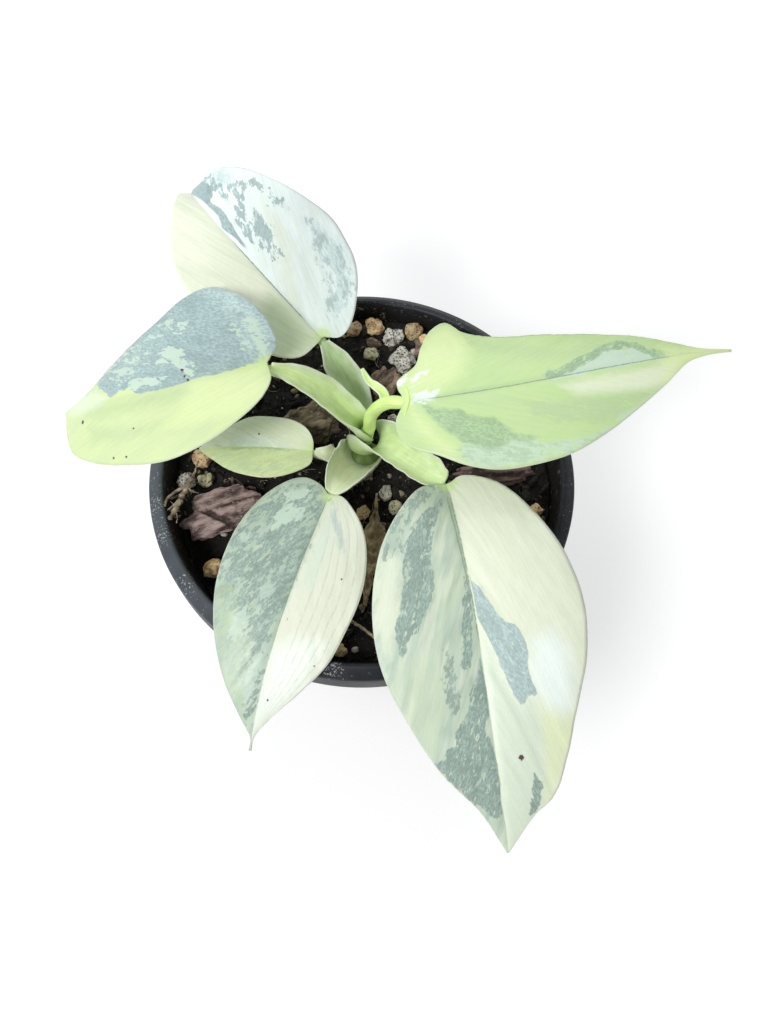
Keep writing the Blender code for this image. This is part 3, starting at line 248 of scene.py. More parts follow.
BACK_LEFT_MARKS = (
    # Painted shade: olive where the left half folds near the junction.
    Mark("olive", 3, 0.3, 0, 0.64, (0.5, 1.5, 8, 0.9, 14, 1, 17, 3, 16, 8, 13, 13, 8, 16, 4, 14, 1, 9)),
    Mark("cream", 2.4, 0.4, 0, 0.55, (34.1, -11.3, 31.8, -12.3, 26.9, -12.2, 21, -9.9, 13.2, -3.6, 8.6, -0.6, 12.4, 0,
         18.6, -3.2, 25.8, -8, 30.4, -9.5)),
    Mark("ice", 1.6, 0.8, 0.14, 0.6, (24.8, -18.1, 22, -19.6, 17.3, -20.4, 13.4, -21.3, 8.3, -19.1, 3.7, -15.5,
         1.1, -11.3, -0.3, -7, -0.1, -4.4, 2.3, -4.9, 4.6, -7.2, 6.5, -10.8, 7.9, -12.7, 11.2, -12.9, 14.8, -13.9,
         18.7, -15.7), (55, -4.3, 53.1, -7.4, 48.6, -11, 44.8, -11.1, 44, -7.8, 46.8, -5)),
    Mark("slate", 0.15, 0.12, 0, 1, (59.8, 0.5, 55, -2.6, 53.6, -4.6, 48.3, -4.9, 45.3, -4, 45.3, -2.5, 42.8, -2.6,
         40.9, -3.4, 38.9, -3.3, 36.5, -2.8, 33.3, -2.2, 30.1, -1.7, 27.9, -1.5, 30.3, -1.2, 33.7, -0.8, 36.6, -0.3,
         39.3, -1.7, 42.5, -1.3, 46.1, -1.3, 51, -0.4)),
    Mark("slate", 0.14, 0.9, 0.3, 0.85, (54.5, -5.3, 52.5, -7.2, 47.9, -6.7, 44.8, -6.7, 42, -6.4, 40.1, -5.9,
         41.4, -5.2, 44.5, -5.1, 47.4, -4.7, 50.9, -4.2), (47.2, -7.9, 44.7, -8.7, 44.3, -10.8, 41.3, -9.8, 38.8, -9,
         39.7, -7.7, 42.3, -7.7), (43.3, -11.4, 41.4, -11.9, 39.6, -10.7, 40.9, -10.1), (41.1, -13.3, 40, -14.6,
         38.3, -13.8, 39.4, -12.8), (39.2, -15.3, 36.5, -15.1, 33.9, -14.7, 32, -16.2, 30.2, -16, 31.4, -13.7,
         33.1, -13, 35.7, -13.7, 38.7, -13.5), (38.5, -6.4, 37.3, -7.8, 35.8, -5.9, 33.5, -5.6, 30.9, -4.8, 29.2, -3.8,
         30.8, -3.1, 33.5, -3.5, 35.9, -4.1), (34.3, -9.3, 32.2, -9.4, 29.8, -9.6, 27.5, -9.3, 25.8, -8, 24.5, -7.1,
         22.2, -6.1, 22.8, -4.3, 25.6, -4.2, 27.8, -4.4, 29.7, -4.9, 32.4, -5.8, 34.1, -5.8, 33.9, -7.6)),
    Mark("slate", 0.3, 1.2, 0.45, 0.5, (25.1, -18.3, 23.3, -19.8, 21.4, -18.2, 18.7, -17.6, 16.3, -18.9, 14.8, -16.4,
         10.8, -15.2, 10.1, -13, 13.3, -13.3, 16.6, -14.6, 21.3, -16.3), (9.2, -10.7, 7.7, -13.2, 4.7, -11.6,
         3.5, -7.9, 1.4, -5, 4.3, -6.5, 6.2, -9.4), (15.4, -20.3, 12.3, -20.1, 7, -17.7, 2.8, -14.3, 1.2, -10.1,
         3.7, -11.3, 7.1, -15.4, 11.2, -17.5)),
)
SMALL_LEFT_MARKS = (
    Mark("lime", 3, 0.3, 0, 0.2, (30, 0, 2, 0, -2, -5, 8, -10, 20, -9)),
    Mark("olive", 0.6, 1.6, 0.5, 0.3, (30, 9, -2, 9, -2, -0.5, 30, -0.5)),
    Mark("mint", 1.2, 0.4, 0.1, 0.8, (22, -0.4, 20, -2.5, 14.3, -1.9, 8.6, -0.8, 4.4, 0.3, 8, 0.6, 15.8, -0.1)),
    Mark("frost", 0.5, 0.8, 0.35, 0.45, (20, -2, 13.2, -1.7, 6.1, -0.7, 3.4, -0.4, 7.7, -2.2, 13.4, -4.2, 19.1, -4.2)),
    Mark("sage", 0.9, 1.2, 0.3, 0.3, (21.2, -6.3, 16.6, -7.5, 12.5, -7.2, 13.4, -5.2, 17.5, -4.4), (25.1, 2.2, 18, 7,
         11.7, 8.2, 5.4, 6.2, 10.7, 4.7, 18.5, 3.5)),
    Mark("olive", 0.4, 0.5, 0.1, 0.9, (25.2, -0.6, 21, -0.4, 16.3, -0.1, 10.6, -0.2, 5.9, 0.8, 10.5, 1.1, 16.2, 0.9,
         20.4, 0.8)),
)

LEAVES = (
    Leaf(
        name="leaf_front_right",
        junction=(0.0200, -0.0110, 0.0980),
        length=0.0875,
        heading=(-80, -82, -80),
        climb=(12, -14, -34),
        left_fold=(16, 12, 4),
        right_fold=(14, 12, 4),
        curl=(-26, -22),
        wave=(0.0005, 2.2, 0.1),
        left_margin=((0.0, 0.0008), (-0.0012, 0.0040), (0.0030, 0.0118), (0.0130, 0.0190), (0.0230, 0.0236),
                     (0.0340, 0.0253), (0.0460, 0.0236), (0.0580, 0.0194), (0.0690, 0.0156), (0.0760, 0.0120),
                     (0.0800, 0.0068), (0.0875, TIP_HALF_WIDTH)),
        right_margin=((0.0, 0.0008), (0.0005, 0.0064), (0.0060, 0.0124), (0.0160, 0.0190), (0.0300, 0.0229),
                      (0.0430, 0.0226), (0.0560, 0.0180), (0.0670, 0.0124), (0.0770, 0.0050),
                      (0.0875, TIP_HALF_WIDTH)),
        stalk=((0.0036, 0.0064, 0.0828), (0.0040, 0.0060, 0.0854), (0.0074, 0.0030, 0.0892),
               (0.0114, -0.0022, 0.0926), (0.0160, -0.0074, 0.0955), (0.0200, -0.0110, 0.0974)),
        stalk_radius=0.0013,
        faces_out=322,
        sheath=((0.0, 0.0044, 84, 150), (0.12, 0.0044, 100, 126), (0.25, 0.0046, 100, 88), (0.45, 0.0042, 84, 74),
                (0.86, 0.0038, 90, 68), (0.97, 0.0024, 90, 50)),
        grounds=("cream", "pale"),
        sheath_tone="spring",
        ribs=((0.2, 0.5, 42, 0.85, 0.30), (-0.9, 3, 30, 0.6, 0.20)),
        veins=(1.5, 0.35),
        spots=((65.9, 5.6, 0.62),),
        marks=FRONT_RIGHT_MARKS,
    ),
    Leaf(
        name="leaf_front_left",
        junction=(-0.0081, -0.0110, 0.0920),
        length=0.0625,
        heading=(-108.5, -108.5, -101),
        climb=(14, -12, -34),
        left_fold=(16, 12, 4),
        right_fold=(16, 12, 6),
        curl=(-20, -24),
        wave=(0.0004, 2.1, 0.4),
        left_margin=((0.0, 0.0006), (0.0, 0.0030), (0.0034, 0.0075), (0.0090, 0.0122), (0.0170, 0.0153),
                     (0.0240, 0.0162), (0.0320, 0.0154), (0.0410, 0.0134), (0.0490, 0.0089), (0.0560, 0.0040),
                     (0.0625, 0.0004), (0.0655, TIP_HALF_WIDTH)),
        right_margin=((0.0, 0.0006), (-0.0017, 0.0034), (-0.0017, 0.0076), (0.0020, 0.0116), (0.0080, 0.0152),
                      (0.0150, 0.0174), (0.0230, 0.0179), (0.0320, 0.0170), (0.0410, 0.0141), (0.0500, 0.0092),
                      (0.0570, 0.0042), (0.0625, 0.0004), (0.0655, TIP_HALF_WIDTH)),
        stalk=((-0.0006, 0.0046, 0.0772), (-0.0020, 0.0016, 0.0806), (-0.0038, -0.0024, 0.0842),
               (-0.0056, -0.0060, 0.0878), (-0.0070, -0.0090, 0.0902), (-0.0081, -0.0110, 0.0914)),
        stalk_radius=0.0012,
        faces_out=243,
        sheath=((0.0, 0.0040, 90, 90), (0.12, 0.0052, 96, 98), (0.32, 0.0056, 88, 110), (0.65, 0.0050, 84, 92),
                (0.88, 0.0036, 74, 76), (0.97, 0.0018, 60, 60)),
        grounds=("oat", "herb"),
        sheath_tone="tender",
        ribs=((-0.1, 1, 46, 0.5, 0.20),),
        spots=((20.8, 10.7, 0.22), (41.8, 10.7, 0.22), (52.5, 2.1, 0.26)),
        veins=(1.35, 0.15),
        pleats=0.22,
        marks=FRONT_LEFT_MARKS,
    ),
    Leaf(
        name="leaf_young_right",
        junction=(0.0094, 0.0042, 0.1110),
        length=0.0845,
        heading=(-1, 12.4, 19.5),
        climb=(14, 0, -25),
        left_fold=(8, -2, -8),
        right_fold=(2, -2, -4),
        curl=(-34, -14),
        wave=(0.0006, 2.4, 0.2),
        left_margin=((0.0, 0.0008), (-0.0014, 0.0052), (0.0032, 0.0094), (0.0046, 0.0144), (0.0075, 0.0212),
                     (0.0116, 0.0242), (0.0160, 0.0194), (0.0240, 0.0156), (0.0360, 0.0136), (0.0500, 0.0108),
                     (0.0610, 0.0074), (0.0680, 0.0042), (0.0750, 0.0014), (0.0845, TIP_HALF_WIDTH)),
        right_margin=((0.0, 0.0008), (-0.0017, 0.0052), (-0.0010, 0.0086), (0.0020, 0.0122), (0.0070, 0.0144),
                      (0.0130, 0.0176), (0.0190, 0.0194), (0.0270, 0.0197), (0.0350, 0.0188), (0.0430, 0.0158),
                      (0.0520, 0.0114), (0.0610, 0.0067), (0.0690, 0.0022), (0.0750, 0.0009),
                      (0.0845, TIP_HALF_WIDTH)),
        stalk=((0.0009, 0.0084, 0.0838), (0.0012, 0.0080, 0.0885), (0.0017, 0.0070, 0.0940),
               (0.0019, 0.0066, 0.1000), (0.0038, 0.0064, 0.1050), (0.0066, 0.0054, 0.1090),
               (0.0094, 0.0042, 0.1104)),
        stalk_radius=0.0016,
        faces_out=0,
        sheath=(),
        grounds=("young", "young"),
        sheath_tone="bright",
        ribs=((0.0, 5, 66, 0.75, 0.22),),
        marks=YOUNG_RIGHT_MARKS,
    ),
    Leaf(
        name="leaf_left",
        junction=(-0.0224, 0.0135, 0.1120),
        length=0.0560,
        heading=(199, 188, 160),
        climb=(8, -10, -55),
        left_fold=(28, 2, -18),
        right_fold=(28, 8, -18),
        curl=(-16, -16),
        wave=(0.0004, 2.0, 0.3),
        left_margin=((0.0, 0.0010), (0.0011, 0.0063), (0.0050, 0.0115), (0.0110, 0.0150), (0.0190, 0.0178),
                     (0.0260, 0.0187), (0.0350, 0.0169), (0.0440, 0.0143), (0.0500, 0.0112), (0.0535, 0.0054),
                     (0.0560, TIP_HALF_WIDTH)),
        right_margin=((0.0, 0.0007), (-0.0032, 0.0044), (-0.0028, 0.0094), (-0.0006, 0.0144), (0.0035, 0.0188),
                      (0.0085, 0.0218), (0.0150, 0.0213), (0.0250, 0.0166), (0.0360, 0.0126), (0.0460, 0.0084),
                      (0.0520, 0.0042), (0.0560, TIP_HALF_WIDTH)),
        stalk=((-0.0010, 0.0088, 0.0884), (-0.0024, 0.0091, 0.0922), (-0.0072, 0.0110, 0.0985),
               (-0.0146, 0.0128, 0.1062), (-0.0224, 0.0135, 0.1114)),
        stalk_radius=0.0013,
        faces_out=158,
        sheath=((0.0, 0.0028, 140, 100), (0.14, 0.0031, 112, 92), (0.30, 0.0044, 80, 64), (0.5, 0.0046, 74, 62),
                (0.8, 0.0032, 66, 60), (0.98, 0.0015, 50, 50)),
        grounds=("lime", "lime"),
        sheath_tone="stalk",
        ribs=(),
        spots=((19.7, -3.0, 0.34), (19.4, -1.4, 0.26), (18.9, -0.5, 0.34), (46.3, 4.3, 0.42), (32.1, 9.0, 0.24),
               (37.5, 14.6, 0.24), (34.3, 15.1, 0.26)),
        marks=LEFT_MARKS,
    ),
    Leaf(
        name="leaf_back_left",
        junction=(-0.0104, 0.0299, 0.0990),
        length=0.0662,
        heading=(144, 133, 96),
        climb=(30, 14, -80),
        left_fold=(20, 16, 24),
        right_fold=(22, 18, 50),
        curl=(-16, -16),
        wave=(0.0004, 2.0, 0.0),
        left_margin=((0.0, 0.0016), (0.0013, 0.0096), (0.0056, 0.0141), (0.0110, 0.0167), (0.0208, 0.0188),
                     (0.0288, 0.0186), (0.0335, 0.0171), (0.0392, 0.0130), (0.0450, 0.0084), (0.0540, 0.0036),
                     (0.0662, TIP_HALF_WIDTH)),
        right_margin=((0.0, 0.0006), (-0.0031, 0.0035), (-0.0029, 0.0075), (0.0019, 0.0153), (0.0073, 0.0202),
                      (0.0132, 0.0225), (0.0203, 0.0238), (0.0306, 0.0210), (0.0389, 0.0174), (0.0466, 0.0135),
                      (0.0537, 0.0087), (0.0600, 0.0045), (0.0662, TIP_HALF_WIDTH)),
        stalk=((0.0003, 0.0117, 0.0792), (-0.0003, 0.0150, 0.0842), (-0.0032, 0.0212, 0.0902),
               (-0.0072, 0.0262, 0.0948), (-0.0104, 0.0299, 0.0984)),
        stalk_radius=0.0013,
        faces_out=112,
        sheath=((0.0, 0.0034, 36, 30), (0.25, 0.0048, 48, 42), (0.5, 0.0058, 54, 48), (0.8, 0.0044, 54, 50),
                (0.97, 0.0016, 50, 50)),
        grounds=("ivory", "frost"),
        sheath_tone="sedge",
        ribs=((0.0, 5, 34, 0.9, 0.26),),
        marks=BACK_LEFT_MARKS,
    ),
    Leaf(
        name="leaf_small_left",
        junction=(-0.0128, 0.0041, 0.0860),
        length=0.0298,
        heading=(175, 178.5, 176),
        climb=(8, -2, -15),
        left_fold=(18, 14, 6),
        right_fold=(18, 14, 6),
        curl=(-14, -14),
        wave=(0.0002, 1.8, 0.2),
        left_margin=((0.0, 0.0008), (0.0002, 0.0041), (0.0018, 0.0060), (0.0066, 0.0084), (0.0130, 0.0092),
                     (0.0205, 0.0070), (0.0260, 0.0032), (0.0298, TIP_HALF_WIDTH)),
        right_margin=((0.0, 0.0008), (0.0004, 0.0029), (0.0020, 0.0055), (0.0055, 0.0076), (0.0110, 0.0085),
                      (0.0170, 0.0081), (0.0215, 0.0061), (0.0265, 0.0029), (0.0298, TIP_HALF_WIDTH)),
        stalk=((-0.0053, 0.0052, 0.0776), (-0.0074, 0.0047, 0.0803), (-0.0098, 0.0041, 0.0836),
               (-0.0128, 0.0041, 0.0856)),
        stalk_radius=0.0010,
        faces_out=182,
        sheath=((0.0, 0.0034, 14, 14), (0.3, 0.0034, 46, 46), (0.6, 0.0032, 66, 62), (0.95, 0.0013, 50, 50)),
        grounds=("yellow", "cream"),
        sheath_tone="tender",
        ribs=(),
        spots=((14.0, -3.5, 0.24),),
        veins=(1.1, 0.6),
        marks=SMALL_LEFT_MARKS,
    ),
)

SHEATH_TIP_PATH = ((0.0054, 0.0062, 0.1062), (0.0048, 0.0086, 0.1074), (0.0030, 0.0106, 0.1074),
                   (0.0015, 0.0124, 0.1066), (-0.0002, 0.0154, 0.1076))
SHEATH_TIP_HALF_WIDTHS = (0.0013, 0.0012, 0.0011, 0.0008, 0.0004)


@dataclass
class Lump:
    """A loose piece on the soil: its place, its length, width and height, and how rough it is.

    turn and tilt are in degrees. sunk is the share of its height that lies in the soil. groove is a crack: where
    it starts and ends, and how wide it is.
    """

    name: str
    finish: str
    place: tuple
    size: tuple
    turn: float
    seed: int
    roughness: float = 0.16
    sunk: float = 0.35
    tilt: tuple = (0, 0)
    ridges: float = 0.0
    groove: tuple = ()


LUMPS = (
    Lump("pumice_white_big", "white", (0.0112, 0.0366), (0.0072, 0.0062, 0.0056), 100, 1, 0.20),
    Lump("pumice_white_back", "white", (0.0085, 0.0434), (0.0058, 0.0048, 0.0046), 30, 2, 0.20),
    Lump("pumice_white_left", "white", (-0.0468, 0.0), (0.0048, 0.0044, 0.0042), 10, 3, 0.18),
    Lump("pumice_white_small", "white", (0.0083, 0.0189), (0.0034, 0.0030, 0.0030), 0, 4),
    Lump("pumice_white_stem", "grey", (0.0062, -0.0030), (0.0040, 0.0032, 0.0032), 70, 5, 0.22),
    Lump("pumice_tan_back", "tan", (0.0032, 0.0468), (0.0054, 0.0048, 0.0046), 0, 6),
    Lump("pumice_tan_back_left", "rust", (-0.0026, 0.0458), (0.0046, 0.0040, 0.0040), 40, 7),
    Lump("pumice_tan_back_right", "tan", (0.0176, 0.0430), (0.0036, 0.0032, 0.0032), 0, 8),
    Lump("pumice_tan_left", "tan", (-0.0428, 0.0074), (0.0060, 0.0054, 0.0048), 20, 9),
    # Its finish is a brighter copy of tan: painted light.
    Lump("pumice_tan_front_left", "gold", (-0.0386, -0.0232), (0.0052, 0.0046, 0.0044), 50, 10, sunk=0.25),
    Lump("pumice_tan_front", "tan", (-0.0058, -0.0456), (0.0034, 0.0030, 0.0028), 0, 11),
    Lump("pumice_tan_right", "tan", (0.0452, -0.0088), (0.0040, 0.0034, 0.0034), 0, 12),
    Lump("pumice_tan_stem", "tan", (0.0, -0.0088), (0.0042, 0.0030, 0.0032), 75, 13),
    Lump("pumice_olive_back", "rust", (0.0146, 0.0452), (0.0048, 0.0044, 0.0042), 15, 14, 0.20),
    Lump("pumice_olive_mid", "olive", (0.0023, 0.0386), (0.0038, 0.0036, 0.0034), 0, 15),
    Lump("pumice_olive_left", "olive", (-0.0418, 0.0008), (0.0046, 0.0036, 0.0034), 25, 16),
    Lump("pumice_olive_front", "olive", (0.0086, -0.0072), (0.0038, 0.0036, 0.0032), 0, 17),
    Lump("bark_ridged", "mauve", (-0.0372, -0.0088), (0.0190, 0.0120, 0.0062), 20, 18, 0.14, 0.30, (6, -8), 0.10,
         (-0.0425, -0.0082, -0.0320, -0.0136, 0.0010)),
    Lump("bark_corner", "brown", (0.0066, 0.0300), (0.0088, 0.0078, 0.0048), 60, 19, 0.24, 0.35, (10, 0), 0.08),
    Lump("bark_dark", "dark", (0.0356, 0.0022), (0.0200, 0.0066, 0.0048), 4, 20, 0.16, 0.40, (0, 4), 0.10),
    Lump("bark_long", "brown", (0.0030, 0.0420), (0.0044, 0.0026, 0.0024), -24, 21, 0.14, 0.40),
    Lump("bark_lump", "fibrous", (-0.0138, 0.0176), (0.0142, 0.0124, 0.0084), 25, 22, 0.18, 0.35, (0, 6), 0.05),
    Lump("bark_crumb", "dark", (0.0160, 0.0395), (0.0040, 0.0032, 0.0030), 40, 23, 0.20),
    Lump("bark_crumb_front", "dark", (0.0040, -0.0128), (0.0042, 0.0030, 0.0030), 10, 24, 0.22),
)

TWIG_ROOT = ((-0.0430, 0.0036, 0.0812), (-0.0446, -0.0028, 0.0818), (-0.0464, -0.0072, 0.0826),
             (-0.0474, -0.0112, 0.0836), (-0.0484, -0.0142, 0.0846))
ROOTLETS = (
    (((-0.0447, -0.0030, 0.0820), (-0.0466, -0.0048, 0.0824), (-0.0484, -0.0064, 0.0830), (-0.0497, -0.0084, 0.0838),
      (-0.0500, -0.0106, 0.0842)), 0.00046),
    (((-0.0460, -0.0066, 0.0826), (-0.0476, -0.0092, 0.0832), (-0.0492, -0.0116, 0.0842)), 0.00022),
    (((-0.0476, -0.0116, 0.0838), (-0.0466, -0.0134, 0.0840), (-0.0468, -0.0150, 0.0838)), 0.00020),
    (((-0.0450, -0.0044, 0.0822), (-0.0436, -0.0060, 0.0832), (-0.0418, -0.0066, 0.0836)), 0.00018),
)
TWIG_THIN = ((-0.0440, -0.0044, 0.0802), (-0.0472, -0.0062, 0.0812), (-0.0496, -0.0084, 0.0838))
STRAW = ((-0.0030, -0.0384, 0.0764), (0.0, -0.0404, 0.0766), (0.0034, -0.0432, 0.0766))
DRIED_LEAF_PATH = ((0.0036, -0.0052, 0.0800), (0.0032, -0.0100, 0.0788), (0.0022, -0.0180, 0.0780),
                   (0.0012, -0.0262, 0.0778), (0.0004, -0.0350, 0.0772))
DRIED_LEAF_SECTIONS = ((0.0, 0.0020, 40, 40), (0.25, 0.0030, 60, 60), (0.5, 0.0036, 74, 74),
                       (0.75, 0.0030, 66, 66), (1.0, 0.0016, 40, 40))


# Node trees.


class Wire:
    """An output of a node tree. Arithmetic on it adds Math nodes."""

    def __init__(self, graph, socket):
        self.graph, self.socket = graph, socket

    def math(self, operation, *others):
        return self.graph.math(operation, self, *others)

    def __add__(self, other):
        return self.math("ADD", other)

    __radd__ = __add__

    def __sub__(self, other):
        return self.math("SUBTRACT", other)

    def __rsub__(self, other):
        return self.graph.math("SUBTRACT", other, self)

    def __mul__(self, other):
        return self.math("MULTIPLY", other)

    __rmul__ = __mul__

    def __rtruediv__(self, other):
        return self.graph.math("DIVIDE", other, self)

    def __pow__(self, other):
        return self.math("POWER", other)

    def __abs__(self):
        return self.math("ABSOLUTE")


class Graph:
    """Adds nodes to one tree."""

    def __init__(self, tree):
        self.tree = tree

    def node(self, kind, settings=None, inputs=None, output=0):
        """A node of any type: its settings first, then the values or links of its sockets."""
        made = self.tree.nodes.new(kind)
        for name, value in (settings or {}).items():
            if name == "stops":
                self.fill_ramp(made.color_ramp, value)
            else:
                setattr(made, name, value)
        for key, value in (inputs or {}).items():
            socket = made.inputs[key]
            if isinstance(value, Wire):
                self.tree.links.new(value.socket, socket)
            elif socket.type == "RGBA" and len(value) == 3:
                socket.default_value = (*value, 1.0)
            else:
                socket.default_value = value
        return Wire(self, made.outputs[output])

    @staticmethod
    def fill_ramp(ramp, stops):
        while len(ramp.elements) < len(stops):
            ramp.elements.new(1.0)
        for element, (place, colour) in zip(ramp.elements, stops):
            element.position = place
            element.color = (*colour, 1.0)

    def math(self, operation, *values):
        return self.node("ShaderNodeMath", {"operation": operation}, dict(enumerate(values)))

    def vector(self, operation, first, second):
        return self.node("ShaderNodeVectorMath", {"operation": operation}, {0: first, 1: second})

    def distance(self, place, spot):
        return self.node("ShaderNodeVectorMath", {"operation": "DISTANCE"}, {0: place, 1: spot}, "Value")

    def blend(self, factor, first, second):
        return self.node("ShaderNodeMix", {"data_type": "RGBA"}, {0: factor, 6: first, 7: second}, 2)

    def step(self, value, low, high, bottom=0.0, top=1.0):
        """A smooth step from bottom to top while the value goes from low to high."""
        return self.node("ShaderNodeMapRange", {"interpolation_type": "SMOOTHSTEP"},
                         {0: value, 1: low, 2: high, 3: bottom, 4: top})

    def over(self, colour, tone, value, low, high, share=1.0):
        """The colour, under the tone where the value passes from low to high."""
        return self.blend(self.step(value, low, high, 0.0, share), colour, tone)

    def noise(self, place, scale, detail=3.0, roughness=0.5, distortion=0.0):
        return self.node("ShaderNodeTexNoise", {}, {"Vector": place, "Scale": scale, "Detail": detail,
                                                    "Roughness": roughness, "Distortion": distortion})

    def cells(self, place, scale):
        return self.node("ShaderNodeTexVoronoi", {}, {"Vector": place, "Scale": scale})

    def place(self):
        """Object coordinates, in metres."""
        return self.node("ShaderNodeTexCoord", {}, {}, "Object")

    def attribute(self, name, output="Fac"):
        return self.node("ShaderNodeAttribute", {"attribute_name": name}, {}, output)

    def parts(self, vector):
        return [self.node("ShaderNodeSeparateXYZ", {}, {0: vector}, axis) for axis in range(3)]

    def join(self, x, y, z=0.0):
        return self.node("ShaderNodeCombineXYZ", {}, {0: x, 1: y, 2: z})


class Finish(Graph):
    """One material and its Principled shader."""

    def __init__(self, name):
        self.material = bpy.data.materials.new(name)
        self.material.use_nodes = True
        super().__init__(self.material.node_tree)
        self.shader = self.tree.nodes["Principled BSDF"]

    def set(self, **values):
        for key, value in values.items():
            socket = self.shader.inputs[key.replace("_", " ")]
            if isinstance(value, Wire):
                self.tree.links.new(value.socket, socket)
            elif socket.type == "RGBA":
                socket.default_value = (*value[:3], 1.0)
            else:
                socket.default_value = value
        return self.material

    def bump(self, height, distance, strength=1.0):
        return self.node("ShaderNodeBump", {}, {"Height": height, "Distance": distance, "Strength": strength})


def scaled(colour, share):
    """The colour made darker or lighter."""
    return tuple(min(1.0, part * share) for part in colour)


# Mesh helpers.


class Body:
    """Gathers grids and tubes into one mesh, with a material number and attributes for each part."""

    def __init__(self):
        self.points = []
        self.faces = []
        self.slots = []
        self.values = {}
        self.count = 0

    def add(self, points, faces, slot, **values):
        points = np.asarray(points, float).reshape(-1, 3)
        self.points.append(points)
        self.faces.extend(tuple(int(corner) + self.count for corner in face) for face in faces)
        self.slots.extend([slot] * len(faces))
        for name, value in values.items():
            self.values.setdefault(name, []).append((self.count, np.asarray(value, float)))
        self.count += len(points)

    def made(self, name, materials):
        mesh = bpy.data.meshes.new(name)
        mesh.from_pydata(np.concatenate(self.points).tolist(), [], self.faces)
        for material in materials:
            mesh.materials.append(material)
        mesh.polygons.foreach_set("material_index", self.slots)
        for key, runs in self.values.items():
            width = 3 if runs[0][1].ndim == 2 else 1
            data = np.zeros((self.count, width))
            for start, run in runs:
                data[start:start + len(run)] = run.reshape(len(run), width)
            kind, field = ("FLOAT_VECTOR", "vector") if width == 3 else ("FLOAT", "value")
            layer = mesh.attributes.new(key, kind, "POINT")
            layer.data.foreach_set(field, data.astype(np.float32).ravel())
        mesh.shade_smooth()
        mesh.validate()
        return mesh


def linked(name, data):
    """An object with its data, in the scene."""
    obj = bpy.data.objects.new(name, data)
    bpy.context.scene.collection.objects.link(obj)
    return obj


def drawn_mesh(name, shape):
    """A mesh of what the bmesh holds."""
    mesh = bpy.data.meshes.new(name)
    shape.to_mesh(mesh)
    shape.free()
    return mesh


def piece(name, mesh, *nodes):
    """A finished piece that rides with the pot and stands for the named nodes."""
    obj = linked(name, mesh)
    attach(obj, ROOT)
    if nodes:
        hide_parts(*nodes)
    return obj


def unit(vectors):
    length = np.linalg.norm(vectors, axis=-1, keepdims=True)
    return vectors / np.maximum(length, 1e-12)


def grid_faces(rows, columns, start=0, flip=False):
    corners = (start + row * columns + column for row in range(rows - 1) for column in range(columns - 1))
    quads = [(corner, corner + 1, corner + columns + 1, corner + columns) for corner in corners]
    return [quad[::-1] for quad in quads] if flip else quads


def ring_faces(gaps, sides, start=0):
    """Faces that close the gaps between rings of points that follow one another."""
    faces = []
    for first in range(start, start + gaps * sides, sides):
        for number in range(sides):
            near, after = first + number, first + (number + 1) % sides
            faces.append((near, near + sides, after + sides, after))
    return faces


def grid_normals(grid):
    return unit(np.cross(np.gradient(grid, axis=1), np.gradient(grid, axis=0)))


def shell(grid, thickness):
    """A closed thin body about a grid of points: its points and its faces."""
    rows, columns = grid.shape[:2]
    normals = grid_normals(grid)
    half = (np.broadcast_to(thickness, (rows, columns)) / 2)[..., None]
    points = np.concatenate([(grid + normals * half).reshape(-1, 3), (grid - normals * half).reshape(-1, 3)])
    below = rows * columns
    faces = grid_faces(rows, columns) + grid_faces(rows, columns, below, True)
    rim = [(0, column) for column in range(columns)]
    rim += [(row, columns - 1) for row in range(1, rows)]
    rim += [(rows - 1, column) for column in range(columns - 2, -1, -1)]
    rim += [(row, 0) for row in range(rows - 2, 0, -1)]
    numbers = [row * columns + column for row, column in rim]
    for near, far in zip(numbers, numbers[1:] + numbers[:1]):
        faces.append((near + below, far + below, far, near))
    return points, faces


def both_sides(values):
    """A grid's values, once for each side of its shell."""
    return np.concatenate([values.reshape(-1, *values.shape[2:])] * 2)


def tube(middle, radii, sides=12):
    """A round tube with rounded ends along a line of points."""
    middle = np.asarray(middle, float)
    ahead = unit(np.gradient(middle, axis=0))
    side = unit(np.cross(ahead, (0.13, 0.31, 1.0)))
    up = np.cross(side, ahead)
    angles = np.linspace(0, 2 * np.pi, sides, endpoint=False)
    ring = np.cos(angles)[:, None, None] * side[None] + np.sin(angles)[:, None, None] * up[None]
    points = (middle[None] + ring * np.asarray(radii)[None, :, None]).transpose(1, 0, 2).reshape(-1, 3)
    faces = ring_faces(len(middle) - 1, sides)
    ends = [middle[0] - ahead[0] * radii[0] * 0.6, middle[-1] + ahead[-1] * radii[-1] * 0.6]
    points = np.concatenate([points, ends])
    first = len(points) - 2
    last = (len(middle) - 1) * sides
    for number in range(sides):
        after = (number + 1) % sides
        faces.append((first, number, after))
        faces.append((first + 1, last + after, last + number))
    return points, faces


def flaky(shape, seed):
    """The same points and faces, with a rough, flaking skin."""
    points, faces = shape
    x, y, z = points.T * 1000
    rough = [waves(x * 8 + z * 5, y * 8 - z * 3, seed + axis) for axis in range(3)]
    return points + 0.00010 * np.stack(rough, axis=1), faces


def lengths_along(points):
    """How far each point lies along the line."""
    return np.concatenate([[0.0], np.cumsum(np.linalg.norm(np.diff(points, axis=0), axis=1))])


def read_line(wanted, marks, points):
    """The line's points at the wanted marks."""
    return np.stack([np.interp(wanted, marks, column) for column in points.T], axis=-1)


